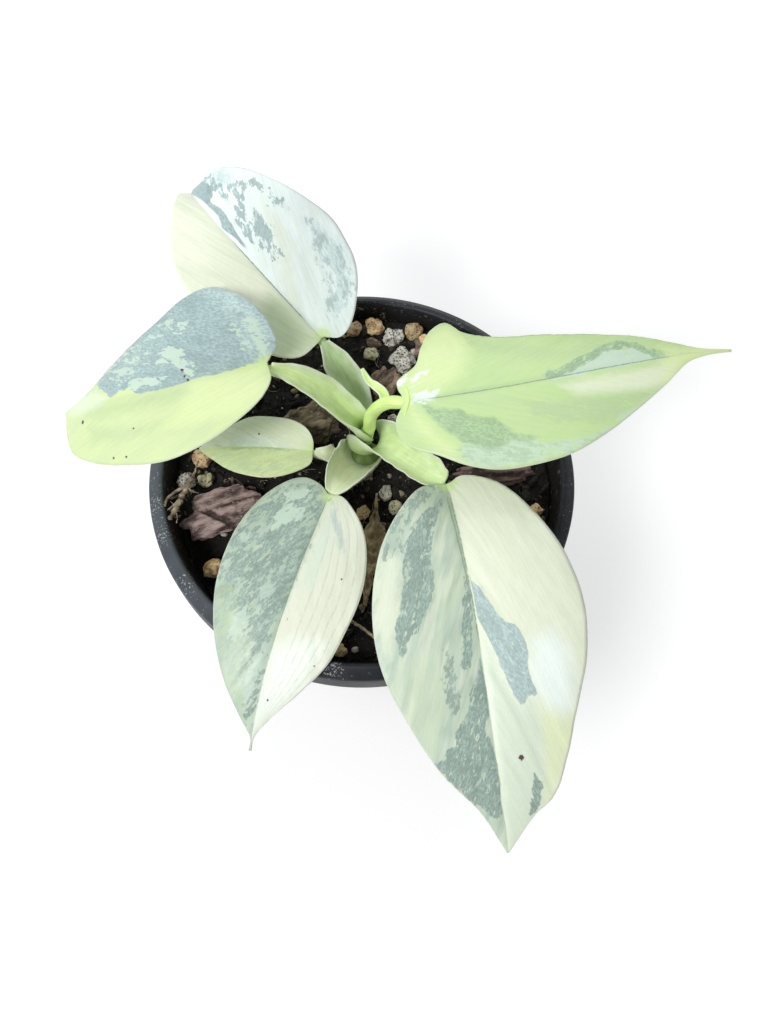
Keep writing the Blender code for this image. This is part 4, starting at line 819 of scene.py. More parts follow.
def smooth_line(points, shares):
    """Points at the given shares of a smooth curve through the given points."""
    points = np.array(points, float)
    knots = np.concatenate([[0.0], np.cumsum(np.sqrt(np.linalg.norm(np.diff(points, axis=0), axis=1)))])
    slopes = np.gradient(points, knots, axis=0)
    steps = np.linspace(0.0, knots[-1], 60 * len(points))
    which = np.clip(np.searchsorted(knots, steps, side="right") - 1, 0, len(knots) - 2)
    width = (knots[which + 1] - knots[which])[:, None]
    t = ((steps - knots[which])[:, None]) / width
    start = (1 + 2 * t) * (1 - t) ** 2 * points[which] + t * (1 - t) ** 2 * width * slopes[which]
    end = t * t * (3 - 2 * t) * points[which + 1] + t * t * (t - 1) * width * slopes[which + 1]
    reach = lengths_along(start + end)
    return read_line(np.asarray(shares, float) * reach[-1], reach, start + end)


def between(triple, share):
    """The parabola through a triple's values at shares 0, a half and 1."""
    base, middle, tip = triple
    return base * (1 - share) * (1 - 2 * share) + middle * 4 * share * (1 - share) + tip * share * (2 * share - 1)


def waves(x, y, seed):
    """Smooth waves without a visible period, between about -1 and 1."""
    turns = np.random.default_rng(seed)
    total = np.zeros_like(x)
    for _ in range(6):
        slope = turns.normal(size=2)
        total = total + np.sin(slope[0] * x + slope[1] * y + turns.uniform(0, 6.28))
    return total / 3.5


def inside_distance(x, y, outline):
    """How far points lie inside an outline: positive inside, negative outside."""
    corners = np.array(outline, float)
    nearest = np.full(x.shape, np.inf)
    inside = np.zeros(x.shape, bool)
    for (ax, ay), (bx, by) in zip(corners, np.roll(corners, -1, axis=0)):
        dx, dy = bx - ax, by - ay
        share = np.clip(((x - ax) * dx + (y - ay) * dy) / max(dx * dx + dy * dy, 1e-9), 0, 1)
        nearest = np.minimum(nearest, np.hypot(x - ax - share * dx, y - ay - share * dy))
        if dy:
            crosses = (ay > y) != (by > y)
            inside ^= crosses & (x < ax + (y - ay) * dx / dy)
    return np.where(inside, nearest, -nearest)


# Leaves.


def leaf_frame(leaf, share):
    """The directions ahead and to the left at a share of the midrib."""
    heading, climb = np.radians(between(leaf.heading, share)), np.radians(between(leaf.climb, share))
    level = np.cos(climb)
    ahead = np.stack([level * np.cos(heading), level * np.sin(heading), np.sin(climb)], axis=-1)
    return ahead, np.stack([-np.sin(heading), np.cos(heading), np.zeros_like(heading)], axis=-1)


def midrib_line(leaf):
    steps, _ = leaf_frame(leaf, (np.arange(MIDRIB_STEPS) + 0.5) / MIDRIB_STEPS)
    places = np.concatenate([np.zeros((1, 3)), np.cumsum(steps, axis=0)]) * leaf.length / MIDRIB_STEPS
    return places + np.array(leaf.junction)


def blade_points(leaf, along, across):
    """Points of the blade's middle surface. across is positive on the leaf's left."""
    share = np.clip(along / leaf.length, 0.0, 1.0)
    ahead, side = leaf_frame(leaf, share)
    above = np.cross(ahead, side)
    line = midrib_line(leaf)
    marks = np.linspace(0.0, 1.0, MIDRIB_STEPS + 1)
    rib = read_line(share, marks, line)
    rib = rib + ahead * (along - np.clip(along, 0.0, leaf.length))[..., None]
    left = across > 0.0
    out = np.abs(across)
    widest = max(width for _, width in leaf.left_margin + leaf.right_margin)
    fold = np.where(left, between(leaf.left_fold, share), between(leaf.right_fold, share))
    curl = np.where(left, leaf.curl[0], leaf.curl[1])
    rise = np.radians(fold + curl * out / (2 * widest))
    wave_height, waves_count, start = leaf.wave
    lift = out * np.sin(rise)
    lift = lift + wave_height * (out / widest) ** 2 * np.sin(2 * np.pi * (waves_count * share + start))
    return rib + side * (across * np.cos(rise))[..., None] + above * lift[..., None]


BLADE_COLUMNS = 30
ROW_LENGTH = 0.00065
VEIN_BEND = 1.25
VEIN_ANGLE = math.radians(24)


def add_blade(body, leaf, seed):
    """The blade: rows that fan out from the junction, a sunk midrib, soft ribs along the veins and a thin margin."""
    rows = int(leaf.length / ROW_LENGTH)
    shares = np.linspace(0.0, 1.0, rows + 1)
    left = smooth_line(leaf.left_margin, shares)
    right = smooth_line(leaf.right_margin, shares)
    tip = leaf.left_margin[-1][0]
    even = np.linspace(-1.0, 1.0, 2 * BLADE_COLUMNS + 1)
    span = np.sign(even) * np.abs(even) ** 1.3
    reach = np.abs(span)[None]
    end_along = np.where(span > 0, left[:, :1], right[:, :1])
    end_across = np.where(span > 0, left[:, 1:], -right[:, 1:])
    along = end_along * reach + tip * shares[:, None] * (1 - reach)
    across = end_across * reach
    grid = blade_points(leaf, along, across)
    x, y = along * 1000, across * 1000
    vein = x - leaf.veins[0] * np.abs(y) ** VEIN_BEND
    narrow = np.clip(np.abs(end_across) * 1000 / 6, 0.05, 1)
    relief = -0.16 * np.exp(-(y / 0.7) ** 2)
    relief = relief + 0.07 * waves(vein * 1.1, y * 0.10, seed) * np.clip(np.abs(y) / 3, 0, 1)
    relief = relief + 0.05 * waves(vein * 3.4, y * 0.16, seed + 1) * np.clip(np.abs(y) / 2, 0, 1)
    relief = relief + 0.12 * waves(x * 0.22, y * 0.3, seed + 2) * reach**2
    grid = grid + grid_normals(grid) * (relief * narrow / 1000)[..., None] * -1
    thickness = 0.0006 - 0.00035 * reach**3
    points, faces = shell(grid, thickness)
    layers = {}
    for number, mark in enumerate(leaf.marks):
        depths = [inside_distance(x, y, outline) for outline in mark.outlines]
        layers[f"mark_{number}"] = both_sides(np.maximum.reduce(depths))
    under = np.concatenate([np.ones(x.size), np.zeros(x.size)])
    way = np.stack([vein, y, x], axis=-1)
    span = np.broadcast_to(span, x.shape)
    body.add(points, faces, 0, way=both_sides(way), span=both_sides(span), under=under, **layers)


def path_frame(line, inner):
    """The directions ahead along a line, and towards its inner side."""
    ahead = unit(np.gradient(line, axis=0))
    inner = np.array(inner, float)
    return ahead, unit(inner - ahead * (ahead @ inner)[:, None])


def channel_grid(path, sections, inner, steps, columns):
    """A grid of points on an open channel whose back follows the path."""
    shares = np.linspace(0.0, sections[-1][0], steps + 1)
    middle = smooth_line(path, shares)
    ahead, normal = path_frame(middle, inner)
    side = np.cross(normal, ahead)
    knots = np.array(sections, float)
    even = np.linspace(0.0, sections[-1][0], 200)
    values = []
    for column in knots.T[1:]:
        padded = np.pad(np.interp(even, knots[:, 0], column), 7, "edge")
        values.append(np.interp(shares, even, np.convolve(padded, np.ones(15) / 15, "valid")))
    radius, left, right = values[0], np.radians(values[1]), np.radians(values[2])
    part = np.linspace(0.0, 1.0, 2 * columns + 1)[None]
    angle = -right[:, None] * (1 - part) + left[:, None] * part
    back = radius[:, None] * (1 - np.cos(angle))
    out = radius[:, None] * np.sin(angle)
    return middle[:, None] + normal[:, None] * back[..., None] + side[:, None] * out[..., None], shares


def inner_side(leaf):
    facing = math.radians(leaf.faces_out)
    return (-math.cos(facing), -math.sin(facing), 1.0)


def add_sheath(body, leaf, seed):
    """The open sheath, with thin, ruffled margins."""
    grid, shares = channel_grid(leaf.stalk, leaf.sheath, inner_side(leaf), 60, 14)
    length = lengths_along(np.array(leaf.stalk))[-1] * 1000
    part = np.linspace(-1.0, 1.0, grid.shape[1])[None]
    x = np.broadcast_to(shares[:, None] * length, grid.shape[:2])
    y = np.broadcast_to(part * 4.0, grid.shape[:2])
    ends = np.clip(shares * 6, 0, 1)[:, None] * np.clip((1 - shares) * 5, 0, 1)[:, None]
    ruffle = 0.22 * np.abs(part) ** 4 * waves(x * 0.9, y * 0.3, seed) * ends
    ruffle = ruffle + 0.05 * waves(x * 0.15, y * 2.4, seed + 3)
    grid = grid + grid_normals(grid) * (ruffle / 1000)[..., None]
    thickness = 0.0007 - 0.00045 * np.abs(part) ** 2
    points, faces = shell(grid, thickness)
    way = np.stack([x, y, x * 0 + seed], axis=-1)
    # Painted shade: darkest where the sheath starts, fading over its first 5 mm.
    throat = np.clip(1 - x / 5.0, 0, 1) ** 1.4
    span = np.broadcast_to(part, x.shape)
    body.add(points, faces, 1, way=both_sides(way), span=both_sides(span), throat=both_sides(throat))


def add_stalk(body, leaf):
    """One tapering rib: up the back of the sheath, and on under the blade almost to its tip."""
    shares = np.linspace(0.0, 0.94, 40)
    stalk = smooth_line(leaf.stalk, shares)
    radii = leaf.stalk_radius * np.interp(shares, (0.0, 0.3), (0.55, 1.0))
    if leaf.sheath:
        stalk = stalk - path_frame(stalk, inner_side(leaf))[1] * 0.75 * radii[:, None]
    else:
        radii = np.full(len(stalk), leaf.stalk_radius)
    shares = np.linspace(0.03, 0.93, 50)
    rib = blade_points(leaf, leaf.length * shares, np.zeros(len(shares)))
    rib_radii = np.interp(shares, (0.0, 1.0), (leaf.stalk_radius * 0.8, MIDRIB_TIP_RADIUS))
    rib[:, 2] -= 0.95 * rib_radii + 0.0002
    line = np.concatenate([stalk, rib])
    radii = np.concatenate([radii, rib_radii])
    marks = lengths_along(line)
    even = np.linspace(0.0, marks[-1], 110)
    line = read_line(even, marks, line)
    radii = np.interp(even, marks, radii)
    smooth = np.array([0.25, 0.5, 0.25])
    for _ in range(4):
        line[1:-1] = np.stack([np.convolve(column, smooth, "valid") for column in line.T], axis=1)
    points, faces = tube(line, radii, 14)
    turn = np.tile(np.linspace(-6.0, 6.0, 14), len(line))
    x = np.repeat(even * 1000, 14)
    way = np.concatenate([np.stack([x, turn, x * 0], axis=-1), [[0, 0, 0], [x[-1], 0, 0]]])
    body.add(points, faces, 1, way=way, span=np.zeros(len(points)))


def add_collar(body, leaf):
    """The raised fold where the young leaf's blade meets its stalk."""
    shares = np.linspace(-1.0, 1.0, 40)
    line = blade_points(leaf, 0.0013 - 0.0008 * np.abs(shares) ** 1.6 + 0.0002 * shares, 0.0038 * shares)
    line[:, 2] += 0.0002
    points, faces = tube(line, 0.00042 * (1.05 - shares**2) ** 0.5 * (1 + 0.15 * waves(shares * 6, shares, 3)), 12)
    way = np.stack([points[:, 1] * 1000, points[:, 0] * 1000, points[:, 0] * 0 + 60], axis=-1)
    body.add(points, faces, 1, way=way, span=np.zeros(len(points)))


def add_sheath_tip(body):
    """The free tip of the young leaf's sheath: a thin, rolled strap."""
    shares = np.linspace(0.0, 1.0, 40)
    middle = smooth_line(SHEATH_TIP_PATH, shares)
    half_width = np.interp(shares, np.linspace(0.0, 1.0, len(SHEATH_TIP_HALF_WIDTHS)), SHEATH_TIP_HALF_WIDTHS)
    ahead = unit(np.gradient(middle, axis=0))
    side = unit(np.cross(ahead, (0.3, -0.3, 1.0)))
    lift = np.cross(side, ahead)
    part = np.linspace(-1.0, 1.0, 13)[None]
    bowl = 0.4 * part**2
    across = part[..., None] * side[:, None] + bowl[..., None] * lift[:, None]
    grid = middle[:, None] + half_width[:, None, None] * across
    points, faces = shell(grid, 0.0006 - 0.0003 * part**2)
    x = np.broadcast_to(shares[:, None] * 12, grid.shape[:2])
    y = np.broadcast_to(part * 2, grid.shape[:2])
    way = np.stack([x, y, x * 0 + 50], axis=-1)
    body.add(points, faces, 1, way=both_sides(way), span=both_sides(np.broadcast_to(part, x.shape)))


def blade_finish(leaf, look):
    """Variegated blade: two grounds, the leaf's marks with frayed, mottled edges, veins, midrib and dots."""
    finish = Finish(leaf.name + "_blade")
    vein, y, x = finish.parts(finish.attribute("way", "Vector"))
    reach = abs(finish.attribute("span"))
    seed = 11.0 * LEAVES.index(leaf)
    left = finish.step(y, -0.06, 0.06)
    along_vein = x * math.cos(VEIN_ANGLE) + abs(y) * math.sin(VEIN_ANGLE)
    over_veins = abs(y) * math.cos(VEIN_ANGLE) - x * math.sin(VEIN_ANGLE) + left * 60.0

    def grain(width, ratio, shift, detail=2.0):
        """Noise of blots of a width in millimetres, drawn out along the veins."""
        place = finish.join(along_vein * (1 / (width * ratio)), over_veins * (1 / width), seed + shift)
        return finish.noise(place, 1.0, detail, 0.6)

    coarse, middling, fine = grain(3.6, 1.7, 1.0), grain(1.3, 1.9, 3.0), grain(0.50, 1.7, 5.0)
    streaks = grain(0.8, 12.0, 7.0)
    blot = coarse * 0.42 + middling * 0.43 + fine * 0.15
    other = grain(2.4, 2.2, 9.0) * 0.38 + grain(1.0, 2.4, 12.0) * 0.46 + grain(0.42, 2.0, 15.0) * 0.16
    tone = {name: tuple(getattr(look, name)) for name in LeafLook.__annotations__ if name != "roughness"}
    colour = finish.blend(left, tone[leaf.grounds[1]], tone[leaf.grounds[0]])
    soft, broad = grain(4.0, 4.0, 2.0), grain(2.6, 5.0, 33.0)
    green_side = {"pale": 0.75, "herb": 0.5}.get(leaf.grounds[1], 0.16) * (1.0 - left) + left * 0.14
    colour = finish.blend(finish.step(soft, 0.40, 0.62) * green_side, colour, tone["sage"])
    colour = finish.blend(finish.step(broad, 0.44, 0.66) * green_side * 0.55, colour, tone["moss"])
    colour = finish.over(colour, tone["sage"], streaks, 0.42, 0.66, 0.12)
    if leaf.grounds[1] == "pale":
        pale_side = finish.step(grain(3.2, 5.0, 41.0), 0.48, 0.66, 0.0, 0.45) * (1.0 - left)
        colour = finish.blend(pale_side, colour, tone["cream"])
    calm = finish.step(abs(y), 0.0, 1.2, 0.15, 1.0)
    for number, mark in enumerate(leaf.marks):
        depth = finish.attribute(f"mark_{number}") + (blot - 0.5) * calm * (mark.fray * 14.0)
        mask = finish.step(depth, -mark.softness, mark.softness)
        if mark.mottle:
            level = 0.5 + (0.5 - mark.mottle) * 0.17
            mask = mask * finish.step(other, level - 0.014, level + 0.018, 1.0, 0.10)
        shade = tone[mark.tone]
        if mark.tone in ("moss", "slate", "fern", "ice"):
            shade = finish.blend(finish.step(fine, 0.36, 0.64), scaled(shade, 0.84), scaled(shade, 1.14))
            light = tone["mint"] if mark.tone == "fern" else tone["ice"]
            shade = finish.blend(finish.step(grain(0.34, 3.6, 18.0, 3.0), 0.50, 0.66, 0.0, 0.42), shade, light)
            shade = finish.over(shade, scaled(tone[mark.tone], 0.74), coarse, 0.46, 0.62, 0.45)
        colour = finish.blend(mask * mark.strength, colour, shade)
    lines = finish.step(finish.math("SINE", vein * 1.75 + (soft - 0.5) * 5.0), 0.84, 0.995)
    thin = finish.step(finish.math("SINE", vein * 4.6 + (streaks - 0.5) * 6.0), 0.75, 1.0)
    faded = finish.step(abs(y), 0.5, 3.0) * finish.step(middling, 0.34, 0.56, 0.15, 1.0)
    pleats = finish.step(finish.math("SINE", reach * 46.0 + (soft - 0.5) * 4.0), 0.70, 0.99) * left
    pleats = pleats * finish.step(middling, 0.36, 0.52, 0.3, 1.0) * finish.step(reach, 0.12, 0.3)
    faded = faded * leaf.veins[1]
    colour = finish.blend(lines * faded * 0.26 + thin * faded * 0.10 + pleats * leaf.pleats, colour, tone["moss"])
    dashes = finish.step(grain(0.5, 5.0, 21.0), 0.36, 0.50, 0.35, 1.0)
    for offset, start, end, strength, width in leaf.ribs:
        wander = y - finish.step(x, start, end, offset, offset * 0.35) + (middling - 0.5) * 0.35
        line = finish.step(abs(wander), width * 0.4, width * 1.2, 1.0, 0.0) * finish.step(x, start, start + 3.0)
        line = line * finish.step(x, end - 6.0, end + 2.0, 1.0, 0.0)
        halo = finish.step(abs(wander), 0.2, 1.5, 0.30, 0.0) * finish.step(x, start, end, 1.0, 0.0)
        colour = finish.blend(halo * strength, colour, tone["moss"])
        colour = finish.blend(line * dashes * strength, colour, tone["deep"])
    base = finish.step(finish.math("POWER", x * x + y * y, 0.5) + (middling - 0.5) * 4.0, 0.6, 4.0, 0.9, 0.0)
    colour = finish.blend(base, colour, tone["stalk"])
    spot_place = finish.join(x, y)
    for along, across, radius in leaf.spots:
        apart = finish.distance(spot_place, (along, across, 0.0))
        dot = finish.step(apart + (fine - 0.5) * radius * 2.0, radius * 0.8, radius * 1.2, 1.0, 0.0)
        colour = finish.blend(dot, colour, tone["spot"])
    colour = finish.over(colour, tone["margin"], reach, 0.975, 0.999, 0.45)
    colour = finish.blend(finish.attribute("under") * 0.40, colour, tone["under"])
    skin = finish.noise(finish.place(), 2400.0, 2.0, 0.6)
    height = fine * 0.4 + skin * 0.25 - lines * 0.5 * faded - thin * 0.2 * faded + middling * 0.5
    height = height - pleats * (leaf.pleats * 2.0)
    rough = finish.step(fine, 0.35, 0.65, look.roughness - 0.05, look.roughness + 0.05)
    return finish.set(Base_Color=colour, Roughness=rough, Normal=finish.bump(height, 0.00010, 0.6),
                      Coat_Weight=0.10, Coat_Roughness=0.3, Specular_IOR_Level=0.45)


# Both tones are painted shade: the dark stem reads as the shadowed hollow of the crown, and each sheath darkens at its
# base.
STEM_SHADE_TONE = (0.09, 0.15, 0.035)
THROAT_SHADE_TONE = (0.13, 0.22, 0.045)


def sheath_finish(name, tone, look):
    """Fresh stalk and sheath: fine lines along it, thin pale margins, and painted shade that darkens its base, where
    it wraps the stem.
    """
    finish = Finish(name)
    x, y, seed = finish.parts(finish.attribute("way", "Vector"))
    span = abs(finish.attribute("span"))
    lines = finish.noise(finish.join(x * 0.06, y * 1.5, seed), 1.0, 4.0, 0.65)
    soft = finish.noise(finish.join(x * 0.22, y * 0.4, seed + 3.0), 1.0, 2.0, 0.5)
    light = tuple(min(1.0, c * 1.14 + 0.02) for c in tone)
    colour = finish.over(tone, light, soft, 0.36, 0.64)
    dark = tuple(part * share for part, share in zip(tone, (0.76, 0.84, 0.58)))
    colour = finish.over(colour, dark, lines, 0.46, 0.68, 0.45)
    edge = finish.step(span + (lines - 0.5) * 0.9 + (soft - 0.5) * 0.7, 0.52, 1.04, 0.0, 0.72)
    colour = finish.blend(edge, colour, scaled(look.margin, 0.90))
    # Painted shade at the sheath's base.
    colour = finish.blend(finish.attribute("throat") * 0.8, colour, THROAT_SHADE_TONE)
    height = lines * 0.6 + finish.noise(finish.place(), 900.0, 2.0) * 0.3
    return finish.set(Base_Color=colour, Roughness=0.42, Normal=finish.bump(height, 0.00010, 0.5),
                      Coat_Weight=0.12, Coat_Roughness=0.3)


# Soil, stones and chips.


def soil_height(x, y):
    """The height of the soil: banked up at the back, hollow at the front left, lumpy all over."""
    bank = 0.0042 * (max(y, 0.0) / 0.048) ** 2
    hollow = 0.0040 * math.exp(-(((x + 0.041) / 0.010) ** 2 + ((y + 0.021) / 0.011) ** 2))
    mound = 0.0010 * math.exp(-((x + 0.0005) ** 2 + (y - 0.004) ** 2) / 0.009**2)
    side = 0.0012 * math.exp(-(((x - 0.046) / 0.008) ** 2 + (y / 0.014) ** 2))
    lumps = SOIL_LUMP * noise.noise(Vector((x, y, 0.0)) / SOIL_LUMP_SIZE)
    return SOIL_LEVEL + bank - hollow + mound + side + lumps


def inner_radius(height):
    bottom = POT_BASE_RADIUS - POT_WALL
    share = (min(height, RIM_BOTTOM) - POT_BASE_THICKNESS) / (RIM_BOTTOM - POT_BASE_THICKNESS)
    return bottom + (WALL_TOP_RADIUS - POT_WALL - bottom) * share


SOIL_RINGS = 84
SOIL_SECTORS = 230
SOIL_SINK = 0.0006
SOIL_PIT = (-0.0415, -0.0225)
SOIL_PIT_REACH = (0.0075, 0.0085)
SOIL_PIT_DEPTH = 0.0022
WALL_GAP = 0.0006


def soil_mesh():
    """The soil as one closed body. Its top is rough on every scale down to half a millimetre."""
    def turned(ring, sector):
        angle = 2 * math.pi * (sector + 0.5 * (ring % 2)) / SOIL_SECTORS
        return math.cos(angle), math.sin(angle)

    outer = inner_radius(SOIL_LEVEL)
    points = [(0.0, 0.0, soil_height(0.0, 0.0) - SOIL_SINK)]
    free = [1.0]
    for ring in range(1, SOIL_RINGS + 1):
        for sector in range(SOIL_SECTORS):
            reach = outer * ring / SOIL_RINGS
            x, y = (reach * part for part in turned(ring, sector))
            spot = Vector((x, y, 0.0))
            rough = 0.0012 * noise.noise(spot / 0.0023) + 0.0008 * noise.noise(spot / 0.0011)
            height = soil_height(x, y) - SOIL_SINK + rough
            scale = min(1.0, (inner_radius(height) - WALL_GAP) / max(reach, 1e-6))
            off = ((x - SOIL_PIT[0]) / SOIL_PIT_REACH[0]) ** 2 + ((y - SOIL_PIT[1]) / SOIL_PIT_REACH[1]) ** 2
            pit = math.exp(-off)
            points.append((x * scale, y * scale, height - SOIL_PIT_DEPTH * pit))
            free.append(1.0 - 0.95 * min(1.0, pit * 1.6) if ring < SOIL_RINGS * 0.965 else 0.0)
    bottom = POT_BASE_THICKNESS + 0.0015
    for share in (0.66, 0.33, 0.0):
        level = bottom + (SOIL_LEVEL - 0.003 - bottom) * share
        reach = inner_radius(level) - WALL_GAP
        for sector in range(SOIL_SECTORS):
            points.append((*(reach * part for part in turned(SOIL_RINGS, sector)), level))
            free.append(0.0)
    faces = [(0, 1 + sector, 1 + (sector + 1) % SOIL_SECTORS) for sector in range(SOIL_SECTORS)]
    faces += ring_faces(SOIL_RINGS + 2, SOIL_SECTORS, 1)
    last = 1 + (SOIL_RINGS + 2) * SOIL_SECTORS
    faces.append(tuple(range(last + SOIL_SECTORS - 1, last - 1, -1)))
    body = Body()
    body.add(points, faces, 0, free=np.array(free))
    return body


def groove_distance(groove, x, y):
    """How far a point lies from the line of a crack."""
    ax, ay, bx, by, _ = groove
    dx, dy = bx - ax, by - ay
    share = min(1.0, max(0.0, ((x - ax) * dx + (y - ay) * dy) / (dx * dx + dy * dy)))
    return math.hypot(x - ax - share * dx, y - ay - share * dy)


def lump_mesh(lump, detail):
    """The stone or chip, with the frame's own form and finer pits, ridges or fibres."""
    shape = bmesh.new()
    bmesh.ops.create_icosphere(shape, subdivisions=detail, radius=0.5)
    drift = Vector((lump.seed * 7.3, lump.seed * 1.9, lump.seed * 3.1))
    stone = lump.name.startswith("pumice")
    for corner in shape.verts:
        way = corner.co.normalized()
        bump = noise.noise(way * 1.3 + drift) + 0.5 * noise.noise(way * 2.9 + drift)
        ridge = lump.ridges * math.cos(way.y * 9.0 + lump.seed)
        if stone:
            pits = noise.noise(way * 9.0 + drift)
            detail_height = 0.035 * noise.noise(way * 6.0 + drift) - 0.05 * max(0.0, pits - 0.18)
        else:
            fibre = Vector((way.x * 2.2, way.y * 13.0, way.z * 7.0))
            detail_height = 0.05 * noise.noise(fibre + drift) + 0.025 * noise.noise(fibre * 2.6 + drift)
        corner.co = way * 0.5 * (1.0 + lump.roughness * bump * 2.0 + ridge + detail_height)
    bmesh.ops.scale(shape, vec=Vector(lump.size), verts=shape.verts)
    x, y = lump.place
    height = soil_height(x, y) + (0.5 - lump.sunk) * lump.size[2]
    tilt = Matrix.Rotation(math.radians(lump.tilt[0]), 4, "X") @ Matrix.Rotation(math.radians(lump.tilt[1]), 4, "Y")
    turn = Matrix.Rotation(math.radians(lump.turn), 4, "Z")
    shape.transform(Matrix.Translation((x, y, height)) @ turn @ tilt)
    if lump.groove:
        for corner in shape.verts:
            near = 1.0 - groove_distance(lump.groove, corner.co.x, corner.co.y) / lump.groove[4]
            corner.co.z -= 0.0014 * max(0.0, near) ** 0.7
    mesh = drawn_mesh(lump.name, shape)
    mesh.shade_smooth()
    return mesh


# A stone's tone, the tone of its stains, and how pitted it is.
STONE_TONES = {
    "white": ((0.58, 0.56, 0.50), (0.28, 0.26, 0.21), 0.9),
    "tan": ((0.84, 0.62, 0.35), (0.40, 0.19, 0.09), 0.3),
    # A brighter copy of tan: painted light on the front left stone, which lies in the front left leaf's shadow.
    "gold": ((0.95, 0.67, 0.36), (0.62, 0.28, 0.11), 0.2),
    "rust": ((0.46, 0.36, 0.20), (0.24, 0.075, 0.035), 0.5),
    "grey": ((0.52, 0.50, 0.40), (0.24, 0.22, 0.15), 0.6),
    "olive": ((0.52, 0.49, 0.31), (0.26, 0.24, 0.14), 0.5),
}
# The light and dark tones of bark.
BARK_TONES = {
    "mauve": ((0.48, 0.355, 0.33), (0.075, 0.046, 0.042)),
    "brown": ((0.32, 0.23, 0.17), (0.07, 0.045, 0.032)),
    "dark": ((0.30, 0.19, 0.18), (0.045, 0.026, 0.025)),
    "fibrous": ((0.30, 0.24, 0.15), (0.055, 0.040, 0.026)),
}
# Each kind of crumb: the ramp that its colours are drawn from, and its roughness.
CRUMB_TONES = {
    "peat_crumbs": (((0.0, (0.003, 0.0025, 0.002)), (0.68, (0.010, 0.008, 0.006)), (0.90, (0.06, 0.045, 0.032)),
                     (1.0, (0.24, 0.19, 0.14))), 0.92),
    "bark_crumbs": (((0.0, (0.006, 0.005, 0.004)), (0.55, (0.030, 0.021, 0.016)), (0.82, (0.15, 0.105, 0.085)),
                     (1.0, (0.42, 0.34, 0.29))), 0.92),
    "pumice_grains": (((0.0, (0.50, 0.46, 0.40)), (0.4, (0.62, 0.58, 0.52)), (0.62, (0.42, 0.28, 0.14)),
                       (0.85, (0.30, 0.27, 0.17)), (1.0, (0.75, 0.72, 0.68))), 0.92),
    "fibres": (((0.0, (0.10, 0.07, 0.045)), (0.6, (0.22, 0.16, 0.10)), (1.0, (0.48, 0.42, 0.32))), 0.8),
}
# What is strewn: its name, its tree and its finish, then how many lie on a square metre, the smallest and the largest
# (None takes the setting), the flatness, the ruggedness, the lift and the seed. A strand's flatness is its radius.
STREWN = (
    ("soil_crumbs_fine", "grains", "peat_crumbs", 420000.0, 0.0004, 0.0013, 0.8, 0.9, 0.15, 3),
    ("soil_crumbs", "stones", "peat_crumbs", 110000.0, 0.0010, None, 0.7, 0.9, 0.18, 21),
    ("soil_bark_bits", "stones", "bark_crumbs", 42000.0, 0.0014, 0.0048, 0.45, 1.0, 0.16, 45),
    ("soil_pumice_bits", "stones", "pumice_grains", 17000.0, 0.0006, 0.0030, 0.85, 0.9, 0.22, 67),
    ("soil_white_specks", "grains", "pumice_grains", 60000.0, 0.0002, 0.0006, 0.9, 0.7, 0.8, 81),
    ("soil_fibres", "strands", "fibres", 14000.0, 0.0020, 0.0100, 0.00007, 0.5, 0.05, 97),
)


def stone_finish(name, tone, dark, speck):
    """Pumice: chalky grains, pores darkened with painted shade, and stains."""
    finish = Finish(name)
    place = finish.place()
    soft = finish.noise(place, 420.0, 4.0, 0.6)
    grain = finish.noise(place, 2200.0, 3.0, 0.7)
    pores = finish.cells(place, 1500.0)
    wide = finish.noise(place, 700.0, 3.0, 0.6)
    colour = finish.over(tone, dark, soft, 0.46, 0.66)
    colour = finish.over(colour, scaled(tone, 1.2), grain, 0.35, 0.7, 0.45)
    # Painted shade in the pores.
    holes = finish.step(pores + (wide - 0.5) * 0.5, 0.10 + speck * 0.14, 0.20 + speck * 0.22, 1.0, 0.0)
    colour = finish.blend(holes * 0.9, colour, (0.035, 0.028, 0.02))
    height = grain * 0.5 - holes * 1.4 + soft
    return finish.set(Base_Color=colour, Roughness=0.92, Normal=finish.bump(height, 0.0003, 0.9))


def bark_finish(name, light, dark, turn, groove=()):
    """Bark: fibres along the chip, pale dusty crests, and painted shade darkening its crack where it has one."""
    finish = Finish(name)
    place = finish.node("ShaderNodeMapping", {}, {"Vector": finish.place(), "Rotation": (0, 0, math.radians(turn))})
    long = finish.vector("MULTIPLY", place, (0.22, 1.0, 1.0))
    fibre = finish.noise(long, 1700.0, 4.0, 0.65, 0.3)
    broad = finish.noise(long, 520.0, 3.0, 0.6, 0.2)
    dust = finish.noise(finish.place(), 900.0, 3.0, 0.6)
    colour = finish.over(dark, light, broad, 0.35, 0.66)
    colour = finish.over(colour, scaled(dark, 0.35), fibre, 0.52, 0.72, 0.65)
    colour = finish.over(colour, scaled(light, 1.5), dust, 0.56, 0.72, 0.5)
    if groove:
        ax, ay, bx, by, width = groove
        x, y, _ = finish.parts(finish.place())
        length = math.hypot(bx - ax, by - ay)
        off = (x - ax) * ((ay - by) / length) + (y - ay) * ((bx - ax) / length) + (broad - 0.5) * 0.0012
        along = (x - ax) * ((bx - ax) / length) + (y - ay) * ((by - ay) / length)
        # Painted shade along the crack.
        crack = finish.step(abs(off), width * 0.25, width * 1.1, 0.8, 0.0)
        crack = crack * finish.step(along, -0.001, 0.002)
        crack = crack * finish.step(along, length - 0.001, length + 0.002, 1.0, 0.0)
        colour = finish.blend(crack, colour, scaled(dark, 0.5))
    height = broad + fibre * 0.7
    return finish.set(Base_Color=colour, Roughness=0.9, Normal=finish.bump(height, 0.0005, 0.9))


def soil_finish(look):
    finish = Finish("potting_mix")
    place = finish.place()
    soft = finish.noise(place, 300.0, 5.0, 0.7)
    grain = finish.noise(place, 1800.0, 3.0, 0.7)
    colour = finish.over(tuple(look.dark), tuple(look.brown), soft, 0.35, 0.7)
    colour = finish.over(colour, (0.10, 0.08, 0.06), grain, 0.62, 0.74, 0.35)
    return finish.set(Base_Color=colour, Roughness=0.95, Normal=finish.bump(soft + grain * 0.5, 0.0006, 1.0))


